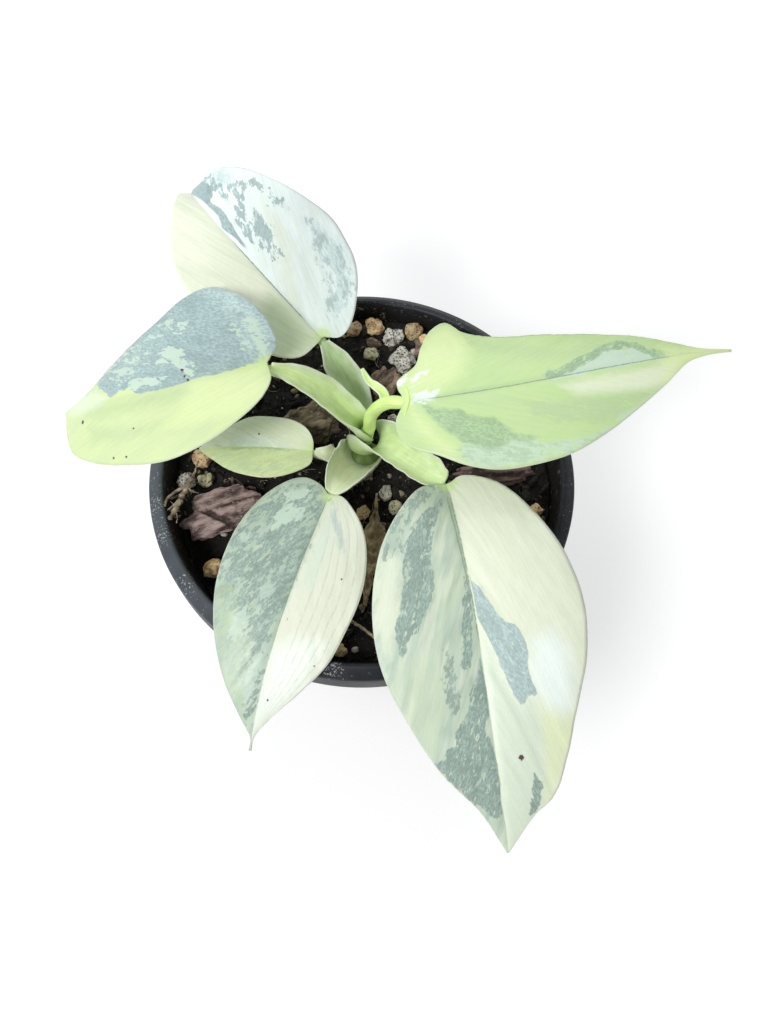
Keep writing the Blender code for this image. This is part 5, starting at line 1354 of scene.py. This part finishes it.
def grain_finish(name, stops, roughness):
    """Crumbs whose colour is drawn for each of them from a ramp."""
    finish = Finish(name)
    place = finish.place()
    tone = finish.attribute("tone")
    colour = finish.node("ShaderNodeValToRGB", {"stops": stops}, {"Fac": tone})
    mix = finish.noise(place, 1600.0, 3.0, 0.65)
    colour = finish.over(colour, (0.025, 0.02, 0.016), mix, 0.45, 0.7, 0.7)
    pale = finish.noise(place, 2600.0, 2.0, 0.6)
    colour = finish.over(colour, (0.42, 0.37, 0.30), pale, 0.62, 0.78, 0.22)
    return finish.set(Base_Color=colour, Roughness=roughness, Normal=finish.bump(mix + pale * 0.5, 0.0004, 0.8))


def scatter_tree(name, faces_level, strands=False):
    """Geometry Nodes that strew rough grains, or thin curved strands, over a surface where it is free."""
    tree = bpy.data.node_groups.new(name, "GeometryNodeTree")
    tree.is_modifier = True
    sockets = (("Surface", "Geometry", None), ("Density", "Float", 100000.0), ("Smallest", "Float", 0.0004),
               ("Largest", "Float", 0.0012), ("Flatness", "Float", 0.6), ("Ruggedness", "Float", 0.5),
               ("Lift", "Float", 0.0), ("Seed", "Int", 1), ("Finish", "Material", None))
    for label, kind, value in sockets:
        socket = tree.interface.new_socket(label, in_out="INPUT", socket_type="NodeSocket" + kind)
        if value is not None:
            socket.default_value = value
    tree.interface.new_socket("Grains", in_out="OUTPUT", socket_type="NodeSocketGeometry")
    graph = Graph(tree)
    entry = tree.nodes.new("NodeGroupInput")
    surface, density, smallest, largest, flatness, ruggedness, lift, seed, finish = (
        Wire(graph, entry.outputs[label]) for label, _, _ in sockets)
    free = graph.node("GeometryNodeInputNamedAttribute", {"data_type": "FLOAT"}, {"Name": "free"})
    spread = graph.node("GeometryNodeDistributePointsOnFaces", {},
                        {"Mesh": surface, "Density": density * free, "Seed": seed})

    def drawn(low, high, shift):
        """A random number, or three of them, for each point."""
        kind, first = ("FLOAT_VECTOR", 0) if isinstance(low, tuple) else ("FLOAT", 2)
        return graph.node("FunctionNodeRandomValue", {"data_type": kind},
                          {first: low, first + 1: high, "Seed": seed + shift}, first // 2)

    size = smallest + (largest - smallest) * (drawn(0.0, 1.0, 3) ** 2.2)
    lifted = graph.node("GeometryNodeSetPosition", {},
                        {"Geometry": spread, "Offset": graph.join(0.0, 0.0, size * lift)})
    turn = drawn((0.0, 0.0, 0.0), (6.28, 6.28, 6.28), 5)
    if strands:
        shape = graph.node("GeometryNodeCurveQuadraticBezier", {},
                           {"Resolution": 8, "Start": (-0.5, 0.0, 0.0), "Middle": (0.0, 0.35, 0.12),
                            "End": (0.5, -0.05, 0.0)})
        turn = graph.vector("MULTIPLY", turn, (0.08, 0.08, 1.0))
        measure = graph.join(size, size, size)
    else:
        shape = graph.node("GeometryNodeMeshIcoSphere", {}, {"Radius": 0.5, "Subdivisions": faces_level})
        measure = graph.vector("MULTIPLY", drawn((0.6, 0.6, 0.6), (1.2, 1.0, 1.0), 7),
                               graph.join(size, size, size * flatness))
    placed = graph.node("GeometryNodeInstanceOnPoints", {},
                        {"Points": lifted, "Instance": shape, "Rotation": turn, "Scale": measure})
    for label, value in (("tone", drawn(0.0, 1.0, 11)), ("girth", drawn(0.6, 1.0, 13) * smallest)):
        placed = graph.node("GeometryNodeStoreNamedAttribute", {"data_type": "FLOAT", "domain": "INSTANCE"},
                            {"Geometry": placed, "Name": label, "Value": value})
    real = graph.node("GeometryNodeRealizeInstances", {}, {"Geometry": placed})
    where = graph.node("GeometryNodeInputPosition")
    scale = graph.node("GeometryNodeInputNamedAttribute", {"data_type": "FLOAT"}, {"Name": "girth"})
    place = where if strands else graph.node("ShaderNodeVectorMath", {"operation": "SCALE"},
                                             {0: where, 3: 0.45 / (scale + 0.00001)})
    wander = graph.node("ShaderNodeTexNoise", {}, {"Vector": place, "Scale": 260.0 if strands else 1.0,
                                                   "Detail": 1.0}, "Color")
    amount = scale * ruggedness
    reach = (0.006, 0.006, 0.0016) if strands else graph.join(amount, amount, amount)
    offset = graph.vector("MULTIPLY", graph.vector("SUBTRACT", wander, (0.5, 0.5, 0.5)), reach)
    shaped = graph.node("GeometryNodeSetPosition", {}, {"Geometry": real, "Offset": offset})
    if strands:
        ring = graph.node("GeometryNodeCurvePrimitiveCircle", {}, {"Resolution": 5, "Radius": flatness})
        shaped = graph.node("GeometryNodeCurveToMesh", {},
                            {"Curve": shaped, "Profile Curve": ring, "Fill Caps": True})
    coated = graph.node("GeometryNodeSetMaterial", {}, {"Geometry": shaped, "Material": finish})
    final = graph.node("GeometryNodeRealizeInstances", {}, {"Geometry": coated})
    tree.links.new(final.socket, tree.nodes.new("NodeGroupOutput").inputs[0])
    return tree


def strewn(name, surface, tree, values):
    """A plain mesh of what the tree strews over the surface object. The values are those of its other inputs."""
    modifier = surface.modifiers.new(name, "NODES")
    modifier.node_group = tree
    inputs = [item.identifier for item in tree.interface.items_tree if item.in_out == "INPUT"]
    for key, value in zip(inputs[1:], values):
        modifier[key] = value
    graph = bpy.context.evaluated_depsgraph_get()
    mesh = bpy.data.meshes.new_from_object(surface.evaluated_get(graph))
    surface.modifiers.remove(modifier)
    mesh.name = name
    if not len(mesh.polygons):
        raise RuntimeError(f"{name} came out empty")
    mesh.materials.clear()
    mesh.materials.append(values[-1])
    return mesh


# Twigs and the dried leaf.


# The path, the radius, the light and dark tones and the seed of each.
TWIGS = (
    ("twig_root", TWIG_ROOT, 0.00078, (0.50, 0.42, 0.30), (0.13, 0.09, 0.06), 1),
    ("twig_thin", TWIG_THIN, 0.00036, (0.26, 0.22, 0.19), (0.08, 0.06, 0.05), 2),
    ("straw", STRAW, 0.00042, (0.58, 0.50, 0.34), (0.34, 0.27, 0.16), 3),
)
TWIG_STEPS = 60
HAIRS = 46
HAIR_REACH = (0.0010, 0.0012, 0.0005)
HAIR_BEND = 0.0004
HAIR_STEPS = 9


def twig_body(path, radius, seed, rooted):
    """A thin, flaky twig. A rooted one is knotty, thin at its start, and carries rootlets and hairs."""
    shares = np.linspace(0.0, 1.0, TWIG_STEPS)
    line = smooth_line(path, shares)
    girth = radius * np.linspace(1.0, 0.7, TWIG_STEPS) * (1 + 0.14 * waves(shares * 30, shares, seed))
    if rooted:
        girth = girth * np.interp(shares, (0.0, 0.25, 0.4, 1.0), (0.25, 0.4, 1.0, 1.0))
        girth = girth * (1 + 0.30 * waves(shares * 60, shares * 5, 9))
    line = line + 0.00012 * np.stack([waves(shares * 40, shares, seed + axis) for axis in (3, 4, 5)], axis=1)
    body = Body()
    body.add(*flaky(tube(line, girth, 16), seed), 0)
    if rooted:
        for rootlet, thickness in ROOTLETS:
            root = tube(smooth_line(rootlet, shares), thickness * np.linspace(1.1, 0.6, TWIG_STEPS), 10)
            body.add(*flaky(root, seed + 7), 0)
        add_hairs(body, line)
    return body


def add_hairs(body, line):
    """Fine hairs that stand off the thicker part of the line."""
    turns = np.random.default_rng(12)
    steps = np.linspace(0.0, 1.0, HAIR_STEPS)[:, None]
    for _ in range(HAIRS):
        reach = turns.normal(size=3) * HAIR_REACH
        bend = turns.normal(size=3) * HAIR_BEND
        hair = line[turns.integers(18, 59)] + reach * steps + bend * np.sin(np.pi * steps)
        body.add(*tube(hair, np.linspace(0.00008, 0.00004, HAIR_STEPS), 5), 0)


def dried_leaf_body():
    """The old leaf: rolled along its length, crinkled, and ragged at its edges."""
    grid, shares = channel_grid(DRIED_LEAF_PATH, DRIED_LEAF_SECTIONS, (0.4, 0.0, 1.0), 90, 16)
    x = np.broadcast_to(shares[:, None] * 31, grid.shape[:2])
    y = np.broadcast_to(np.linspace(-5, 5, grid.shape[1])[None], grid.shape[:2])
    ragged = 1 + 0.22 * waves(x * 1.4, np.sign(y) * 3.0, 8)
    taper = np.interp(shares, (0.0, 0.14, 0.30, 0.55, 0.8, 1.0), (0.14, 0.16, 0.95, 0.62, 0.5, 0.3))
    spine = grid[:, grid.shape[1] // 2][:, None]
    grid = spine + (grid - spine) * (taper[:, None] * ragged)[..., None]
    crinkle = 0.55 * waves(x * 1.1, y * 0.8, 5) + 0.24 * waves(x * 3.0, y * 2.0, 6)
    grid = grid + np.array([0.2, 0.0, 1.0]) * (crinkle / 1000)[..., None]
    points, faces = shell(grid, np.full(grid.shape[:2], 0.00028))
    body = Body()
    body.add(points, faces, 0, way=both_sides(np.stack([x, y, x * 0], axis=-1)))
    return body


def dried_leaf_finish():
    """Papery tan, with brown lines along the leaf."""
    finish = Finish("dried_leaf")
    along, across, _ = finish.parts(finish.attribute("way", "Vector"))
    lines = finish.noise(finish.join(along * 0.12, across * 1.5), 1.0, 4.0, 0.7)
    blots = finish.noise(finish.place(), 420.0, 4.0, 0.65)
    colour = finish.blend(finish.step(blots, 0.35, 0.68), (0.24, 0.17, 0.085), (0.60, 0.48, 0.28))
    colour = finish.over(colour, (0.13, 0.08, 0.045), lines, 0.5, 0.7, 0.6)
    return finish.set(Base_Color=colour, Roughness=0.75, Normal=finish.bump(lines + blots * 0.4, 0.0003, 0.8))


# Pot.


def pot_profile():
    """Radius and height around the pot's section: lip, rim band, wall and base, and back up inside."""
    lip, top, rim, low = RIM_RADIUS - LIP_WIDTH, POT_HEIGHT, RIM_RADIUS, RIM_BOTTOM
    edge, wall, base = POT_HEIGHT - LIP_SLOPE, WALL_TOP_RADIUS, POT_BASE_RADIUS
    inner, within, floor = wall - POT_WALL, base - POT_WALL, POT_BASE_THICKNESS
    return (
        (lip + 0.0003, top - 0.0003), (lip + 0.0006, top - 0.00006), (lip + 0.0010, top),
        (lip + 0.0016, top - 0.00022), (rim - 0.0012, edge + 0.0009), (rim - 0.0006, edge + 0.0005),
        (rim - 0.00022, edge + 0.0002), (rim, edge - 0.0001), (rim + 0.0001, edge - 0.0010),
        (rim + 0.00005, low + 0.0020), (rim, low + 0.0003), (rim - 0.0002, low + 0.0001), (rim - 0.0010, low),
        (wall + 0.0002, low - 0.0001), (wall, low - 0.0004), (wall - 0.0006, low - 0.0025),
        (base + 0.0009, 0.0045), (base + 0.0002, 0.0012), (base, 0.0004), (base - 0.0003, 0.0001),
        (base - 0.0010, 0.0), (base - 0.0050, 0.0), (0.0, 0.0), (0.0, floor), (within - 0.0030, floor),
        (within - 0.0010, floor), (within, floor + 0.0010), (inner, low), (inner + 0.0003, low + 0.0025),
        (lip - 0.0002, top - 0.0042), (lip, top - 0.0010), (lip + 0.0001, top - 0.0006),
    )


POT_STEPS = 180


def pot_mesh():
    """The turned pot, cut by its drain holes."""
    profile = pot_profile()
    points = []
    for step in range(POT_STEPS):
        angle = 2 * math.pi * step / POT_STEPS
        points += [(radius * math.cos(angle), radius * math.sin(angle), height) for radius, height in profile]
    count = len(profile)
    faces = []
    for start in range(0, len(points), count):
        after = (start + count) % len(points)
        for number in range(count):
            other = (number + 1) % count
            if profile[number][0] or profile[other][0]:
                faces.append((start + number, after + number, after + other, start + other))
    mesh = bpy.data.meshes.new("pot")
    mesh.from_pydata(points, [], faces)
    shape = bmesh.new()
    shape.from_mesh(mesh)
    bmesh.ops.remove_doubles(shape, verts=shape.verts, dist=1e-7)
    bmesh.ops.dissolve_degenerate(shape, edges=shape.edges, dist=1e-8)
    bmesh.ops.recalc_face_normals(shape, faces=shape.faces)
    shape.to_mesh(mesh)
    shape.free()
    base = linked("pot_blank", mesh)
    drains = bmesh.new()
    for number in range(DRAIN_HOLES):
        angle = 2 * math.pi * number / DRAIN_HOLES
        place = Matrix.Translation((DRAIN_RING * math.cos(angle), DRAIN_RING * math.sin(angle), 0.0))
        bmesh.ops.create_cone(drains, cap_ends=True, segments=32, radius1=DRAIN_RADIUS, radius2=DRAIN_RADIUS,
                              depth=4 * POT_BASE_THICKNESS, matrix=place)
    cutter = linked("drains", drawn_mesh("drains", drains))
    modifier = base.modifiers.new("drains", "BOOLEAN")
    modifier.operation = "DIFFERENCE"
    modifier.object = cutter
    modifier.solver = "MANIFOLD"
    result = bpy.data.meshes.new_from_object(base.evaluated_get(bpy.context.evaluated_depsgraph_get()))
    bpy.data.objects.remove(base)
    bpy.data.objects.remove(cutter)
    result.name = "pot_turned"
    result.materials.clear()
    result.shade_smooth()
    result.set_sharp_from_angle(angle=math.radians(38))
    return result


DUST_HEAPS = ((-0.0525, -0.0100, 0.0843), (-0.0434, -0.0312, 0.0843), (-0.0075, -0.0518, 0.0845),
              (-0.0500, -0.0190, 0.0843))


def pot_finish(look):
    """Black moulded plastic: faint mould grain, dust on the lip, a painted sheen that lightens the left of the lip,
    dirt on the inner wall.
    """
    finish = Finish("black_plastic")
    place = finish.place()
    x, y, z = finish.parts(place)
    radius = finish.math("POWER", x * x + y * y, 0.5)
    grain = finish.noise(place, 1400.0, 3.0, 0.6)
    cloud = finish.noise(place, 90.0, 4.0, 0.6)
    speck = finish.noise(place, 1900.0, 2.0, 0.6)
    worn = tuple(part * 1.5 + 0.004 for part in look.colour)
    colour = finish.over(tuple(look.colour), worn, cloud, 0.3, 0.7)
    top = finish.step(z, POT_HEIGHT - 0.0032, POT_HEIGHT - 0.0020)
    heaps = 0.0
    for spot in DUST_HEAPS:
        apart = finish.distance(place, spot)
        heaps = finish.step(apart, 0.0004, 0.0042, 1.0, 0.0) + heaps
    slope = (WALL_TOP_RADIUS - POT_BASE_RADIUS) / RIM_BOTTOM
    skin = finish.math("MINIMUM", z * slope + (POT_BASE_RADIUS - POT_WALL * 0.5), RIM_RADIUS - LIP_WIDTH)
    inside = finish.step(radius - skin, -0.0001, 0.0004, 1.0, 0.0)
    # Painted sheen: the lip turns lighter and bluer towards the left.
    painted_lip_sheen = finish.step(x, -0.058, 0.004, 1.0, 0.0) * finish.step(z, POT_HEIGHT - 0.0070, POT_HEIGHT - 0.0020)
    painted_lip_sheen = painted_lip_sheen * (1.0 - inside) * finish.step(cloud, 0.2, 0.7, 0.6, 1.0)
    colour = finish.blend(painted_lip_sheen, colour, (0.074, 0.088, 0.102))
    dust = finish.step(speck + heaps * 0.11, 0.645, 0.70) * finish.step(cloud + heaps * 0.3, 0.40, 0.62)
    dust = dust * (top * 0.8 + 0.12)
    colour = finish.blend(dust * look.dust, colour, (0.42, 0.42, 0.42))
    dirt = finish.noise(place, 260.0, 4.0, 0.7)
    soiled = inside * finish.step(dirt + (POT_HEIGHT - z) * 60.0, 0.45, 0.85)
    colour = finish.blend(soiled * 0.95, colour, (0.008, 0.006, 0.004))
    crust = inside * finish.step(dirt + speck * 0.6, 0.92, 1.02)
    colour = finish.blend(crust * 0.7, colour, (0.30, 0.26, 0.20))
    rough = finish.step(cloud, 0.25, 0.75, 0.40, 0.54) + soiled * 0.4
    height = grain + dust * 1.5 + soiled * dirt * 3.0
    return finish.set(Base_Color=colour, Roughness=rough, Normal=finish.bump(height, 0.00006, 0.7),
                      Specular_IOR_Level=0.28)


# Settings and operators.


def colour_property(name, description, default):
    return bpy.props.FloatVectorProperty(name=name, description=description, default=default, subtype="COLOR",
                                         size=3, min=0.0, max=1.0)


def share_property(name, description, default, low=0.0, high=1.0):
    return bpy.props.FloatProperty(name=name, description=description, default=default, min=low, max=high,
                                   subtype="FACTOR")


class PotLook(bpy.types.PropertyGroup):
    colour: colour_property("Plastic", "Colour of the pot's plastic", (0.009, 0.011, 0.015))
    dust: share_property("Dust", "How dusty the lip is", 0.9)


class SoilLook(bpy.types.PropertyGroup):
    dark: colour_property("Dark", "Colour of the wet mix", (0.003, 0.0025, 0.002))
    brown: colour_property("Brown", "Colour of the drier mix", (0.012, 0.009, 0.007))
    crumb: bpy.props.FloatProperty(name="Crumb size", description="Largest dark crumb", default=0.0024, min=0.0005,
                                   max=0.005, unit="LENGTH", subtype="DISTANCE")
    stones: share_property("Stones", "Share of small pumice grains", 1.0, high=3.0)


class LeafLook(bpy.types.PropertyGroup):
    cream: colour_property("Cream", "Pale ground of the front leaves", (0.78, 0.82, 0.65))
    oat: colour_property("Oat", "Ground of the front left leaf's pale half", (0.70, 0.72, 0.59))
    ivory: colour_property("Ivory", "Pale ground of the back leaf", (0.91, 0.95, 0.76))
    # Also the tone of painted sheen and highlight marks.
    frost: colour_property("Frost", "Cool white ground", (0.85, 0.95, 0.93))
    pale: colour_property("Pale green", "Ground of the front leaf's green half", (0.51, 0.62, 0.50))
    sage: colour_property("Sage", "Pale sage green", (0.56, 0.66, 0.48))
    herb: colour_property("Herb", "Ground of the front left leaf's green half", (0.44, 0.55, 0.44))
    mint: colour_property("Mint", "Pale cool green", (0.55, 0.69, 0.57))
    lime: colour_property("Lime", "Lime ground of the left leaf", (0.63, 0.75, 0.38))
    yellow: colour_property("Yellow", "Yellow-lime patches", (0.73, 0.84, 0.43))
    young: colour_property("Young lime", "Ground of the newest leaf", (0.51, 0.69, 0.30))
    # Also the tone of painted shade where the back and left leaves fold.
    olive: colour_property("Olive", "Soft olive bands", (0.47, 0.61, 0.33))
    fern: colour_property("Fern", "Green marks of the newest leaf", (0.34, 0.50, 0.28))
    slate: colour_property("Slate", "Blue-grey marks", (0.345, 0.465, 0.465))
    ice: colour_property("Ice", "Pale blue-green flecks", (0.56, 0.72, 0.70))
    moss: colour_property("Moss", "Grey-green marks of the front leaves", (0.29, 0.385, 0.33))
    deep: colour_property("Deep green", "Midrib lines", (0.16, 0.23, 0.14))
    stalk: colour_property("Stalk", "Stalks and sheaths", (0.60, 0.76, 0.34))
    spring: colour_property("Spring green", "Sheath of the large front leaf", (0.62, 0.76, 0.40))
    sedge: colour_property("Grey green", "Sheath of the back leaf", (0.40, 0.53, 0.27))
    tender: colour_property("Tender green", "Sheaths of the front left and the small leaf", (0.86, 0.95, 0.66))
    bright: colour_property("Bright stalk", "Stalk of the newest leaf", (0.62, 0.82, 0.27))
    margin: colour_property("Margin", "Thin translucent edges", (0.80, 0.85, 0.74))
    under: colour_property("Underside", "Underside of the blades", (0.62, 0.72, 0.55))
    spot: colour_property("Spots", "Dark dots on the blades", (0.10, 0.055, 0.042))
    roughness: share_property("Roughness", "Roughness of the blades", 0.45, low=0.1)


class StageLook(bpy.types.PropertyGroup):
    floor: colour_property("Floor", "Colour of the floor", (0.62, 0.62, 0.62))
    glow: bpy.props.FloatProperty(name="Floor glow", description="How much the floor is lit from within", default=0.46,
                                  min=0.0)
    key: bpy.props.FloatProperty(name="Key light", description="Power of the soft light", default=7.7, min=0.0,
                                 unit="POWER")
    fill: bpy.props.FloatProperty(name="Fill light", description="Brightness of the surroundings", default=0.38,
                                  min=0.0)


class PHILODENDRON_OT_pot(bpy.types.Operator):
    """Builds the black nursery pot and the dust on its lip"""

    bl_idname = "philodendron.pot"
    bl_label = "Pot"

    def execute(self, context):
        mesh = pot_mesh()
        mesh.materials.append(pot_finish(context.scene.philodendron_pot))
        piece("pot_body", mesh, "pot")
        return {"FINISHED"}


class PHILODENDRON_OT_soil(bpy.types.Operator):
    """Builds the potting mix with its crumbs, grains and fibres"""

    bl_idname = "philodendron.soil"
    bl_label = "Potting mix"

    def execute(self, context):
        look = context.scene.philodendron_soil
        mesh = soil_mesh().made("potting_mix", [soil_finish(look)])
        obj = linked("soil_surface", mesh)
        trees = {name: scatter_tree("strewn_" + name, level, name == "strands")
                 for name, level in (("grains", 1), ("stones", 2), ("strands", 1))}
        finishes = {name: grain_finish(name, *tones) for name, tones in CRUMB_TONES.items()}
        for name, tree, finish, density, smallest, largest, *rest in STREWN:
            density = density * look.stones if finish == "pumice_grains" else density
            values = (density, smallest, largest or look.crumb, *rest, finishes[finish])
            piece(name, strewn(name, obj, trees[tree], values))
        bpy.data.objects.remove(obj)
        piece("soil_body", mesh, "soil")
        return {"FINISHED"}


class PHILODENDRON_OT_stones(bpy.types.Operator):
    """Builds the pumice stones and the bark chips that can be told apart"""

    bl_idname = "philodendron.stones"
    bl_label = "Stones and bark"

    def execute(self, context):
        stones = {name: stone_finish("pumice_" + name, *tones) for name, tones in STONE_TONES.items()}
        for lump in LUMPS:
            mesh = lump_mesh(lump, 5 if max(lump.size) < 0.008 else 6)
            if lump.finish in stones:
                mesh.materials.append(stones[lump.finish])
            else:
                mesh.materials.append(bark_finish(lump.name, *BARK_TONES[lump.finish], -lump.turn, lump.groove))
            piece(lump.name + "_fine", mesh, lump.name)
        return {"FINISHED"}


class PHILODENDRON_OT_litter(bpy.types.Operator):
    """Builds the twigs, the straw and the dried leaf that lie on the mix"""

    bl_idname = "philodendron.litter"
    bl_label = "Twigs and dried leaf"

    def execute(self, context):
        for name, path, radius, light, dark, seed in TWIGS:
            body = twig_body(path, radius, seed, name == "twig_root")
            piece(name + "_fine", body.made(name + "_fine", [bark_finish(name, light, dark, 0)]), name)
        piece("dried_leaf_fine", dried_leaf_body().made("dried_leaf_fine", [dried_leaf_finish()]), "dried_leaf")
        return {"FINISHED"}


class PHILODENDRON_OT_stem(bpy.types.Operator):
    """Builds the short ringed stem"""

    bl_idname = "philodendron.stem"
    bl_label = "Stem"

    def execute(self, context):
        shares = np.linspace(0.0, 1.0, 60)
        foot, top = np.array(STEM_FOOT), np.array(STEM_TOP)
        line = foot + (top - foot) * shares[:, None]
        rings = np.abs(np.sin(np.pi * (shares * STEM_RINGS + 0.5))) ** 6
        radii = STEM_RADIUS * (0.86 + 0.10 * rings) * np.clip((1.04 - shares) * 9, 0.35, 1.0)
        radii = radii + STEM_SWELL * np.exp(-(((shares - STEM_SWELL_SHARE) / 0.11) ** 2))
        points, faces = tube(line, radii, 48)
        turned = np.arctan2(points[:, 1] - STEM_FOOT.y, points[:, 0])
        folds = 1 + 0.07 * np.sin(turned * 3 + points[:, 2] * 500) + 0.015 * np.sin(turned * 8 + 1)
        points[:, :2] = STEM_FOOT[:2] + (points[:, :2] - STEM_FOOT[:2]) * folds[:, None]
        body = Body()
        middle_y = (STEM_FOOT.y + STEM_TOP.y) / 2
        way = np.stack([points[:, 2] * 1000, np.arctan2(points[:, 1] - middle_y, points[:, 0]) * 3,
                        points[:, 0] * 0 + 30], axis=-1)
        body.add(points, faces, 0, way=way, span=np.zeros(len(points)))
        look = context.scene.philodendron_leaves
        skin = sheath_finish("stem_skin", STEM_SHADE_TONE, look)
        piece("stem_fine", body.made("stem_fine", [skin]), "stem")
        return {"FINISHED"}


class PHILODENDRON_OT_leaves(bpy.types.Operator):
    """Builds the six leaves, each with its stalk and sheath"""

    bl_idname = "philodendron.leaves"
    bl_label = "Leaves"

    def execute(self, context):
        look = context.scene.philodendron_leaves
        for number, leaf in enumerate(LEAVES):
            body = Body()
            add_blade(body, leaf, 10 * number + 1)
            add_stalk(body, leaf)
            if leaf.sheath:
                add_sheath(body, leaf, 10 * number + 5)
            else:
                add_sheath_tip(body)
                add_collar(body, leaf)
            stalk = sheath_finish(leaf.name + "_sheath", tuple(getattr(look, leaf.sheath_tone)), look)
            mesh = body.made(leaf.name + "_fine", [blade_finish(leaf, look), stalk])
            piece(leaf.name + "_fine", mesh, leaf.name)
        return {"FINISHED"}


# Each light's place, its size, its share of the key light's power, and its tint.
LIGHTS = (("key_light", (-0.42, -0.58, 0.98), 0.28, 1.0, (1.0, 0.99, 0.985)),
          ("side_light", (-0.85, 0.15, 0.75), 0.90, 0.40, (0.97, 0.99, 1.0)),
          ("back_light", (0.0, 0.80, 0.95), 0.80, 0.56, (0.97, 0.99, 1.0)))
LIT_POINT = Vector((0.0, 0.0, 0.09))
SKY = (0.96, 0.98, 1.0, 1.0)
CAMERA_PLACE = (0.0, -0.10502, 0.29858)
CAMERA_TURN = (23.416, -1.178, -0.574)
CAMERA_SENSOR = 36.0
CAMERA_LENS = 32.46


class PHILODENDRON_OT_stage(bpy.types.Operator):
    """Sets up the pale floor, the soft light and the camera"""

    bl_idname = "philodendron.stage"
    bl_label = "Stage"

    def execute(self, context):
        look = context.scene.philodendron_stage
        shape = bmesh.new()
        bmesh.ops.create_grid(shape, x_segments=8, y_segments=8, size=1.6)
        bmesh.ops.translate(shape, vec=(0.0, 0.0, -0.0002), verts=shape.verts)
        mesh = drawn_mesh("floor", shape)
        finish = Finish("pale_floor")
        cloud = finish.noise(finish.place(), 6.0, 3.0, 0.5)
        colour = finish.over(tuple(look.floor), scaled(look.floor, 0.97), cloud, 0.3, 0.7)
        mesh.materials.append(finish.set(Base_Color=colour, Roughness=0.8, Emission_Color=(1.0, 1.0, 1.0),
                                         Emission_Strength=look.glow,
                                         Normal=finish.bump(finish.noise(finish.place(), 900.0), 0.00005, 0.3)))
        floor = linked("floor", mesh)
        for name, place, size, share, tint in LIGHTS:
            data = bpy.data.lights.new(name, "AREA")
            data.shape, data.size, data.energy, data.color = "SQUARE", size, look.key * share, tint
            light = linked(name, data)
            light.location = place
            light.rotation_euler = (LIT_POINT - Vector(place)).to_track_quat("-Z", "Y").to_euler()
        world = bpy.data.worlds.new("surroundings")
        world.use_nodes = True
        sky = world.node_tree.nodes["Background"].inputs
        sky["Color"].default_value = SKY
        sky["Strength"].default_value = look.fill
        context.scene.world = world
        context.scene.view_settings.view_transform = "Standard"
        data = bpy.data.cameras.new("camera")
        data.sensor_width, data.lens = CAMERA_SENSOR, CAMERA_LENS
        camera = linked("camera", data)
        camera.location = CAMERA_PLACE
        camera.rotation_euler = [math.radians(angle) for angle in CAMERA_TURN]
        context.scene.camera = camera
        return {"FINISHED"}


OPERATORS = (PHILODENDRON_OT_pot, PHILODENDRON_OT_soil, PHILODENDRON_OT_stones, PHILODENDRON_OT_litter,
             PHILODENDRON_OT_stem, PHILODENDRON_OT_leaves, PHILODENDRON_OT_stage)
LOOKS = (("philodendron_pot", PotLook), ("philodendron_soil", SoilLook), ("philodendron_leaves", LeafLook),
         ("philodendron_stage", StageLook))


class PHILODENDRON_PT_sidebar(bpy.types.Panel):
    """Lists the pieces and their settings"""

    bl_idname = "PHILODENDRON_PT_sidebar"
    bl_label = "Potted philodendron"
    bl_space_type = "VIEW_3D"
    bl_region_type = "UI"
    bl_category = "Philodendron"

    def draw(self, context):
        for name, look in LOOKS:
            box = self.layout.box()
            for key in look.__annotations__:
                box.prop(getattr(context.scene, name), key)
        for operator in OPERATORS:
            self.layout.operator(operator.bl_idname)


def register():
    for _, look in LOOKS:
        bpy.utils.register_class(look)
    for name, look in LOOKS:
        setattr(bpy.types.Scene, name, bpy.props.PointerProperty(type=look))
    for cls in (*OPERATORS, PHILODENDRON_PT_sidebar):
        bpy.utils.register_class(cls)


def unregister():
    for cls in (PHILODENDRON_PT_sidebar, *reversed(OPERATORS)):
        bpy.utils.unregister_class(cls)
    for name, look in LOOKS:
        delattr(bpy.types.Scene, name)
        bpy.utils.unregister_class(look)


def main():
    register()
    for step in ("pot", "soil", "stones", "litter", "stem", "leaves", "stage"):
        getattr(bpy.ops.philodendron, step)()


if __name__ == "__main__":
    main()
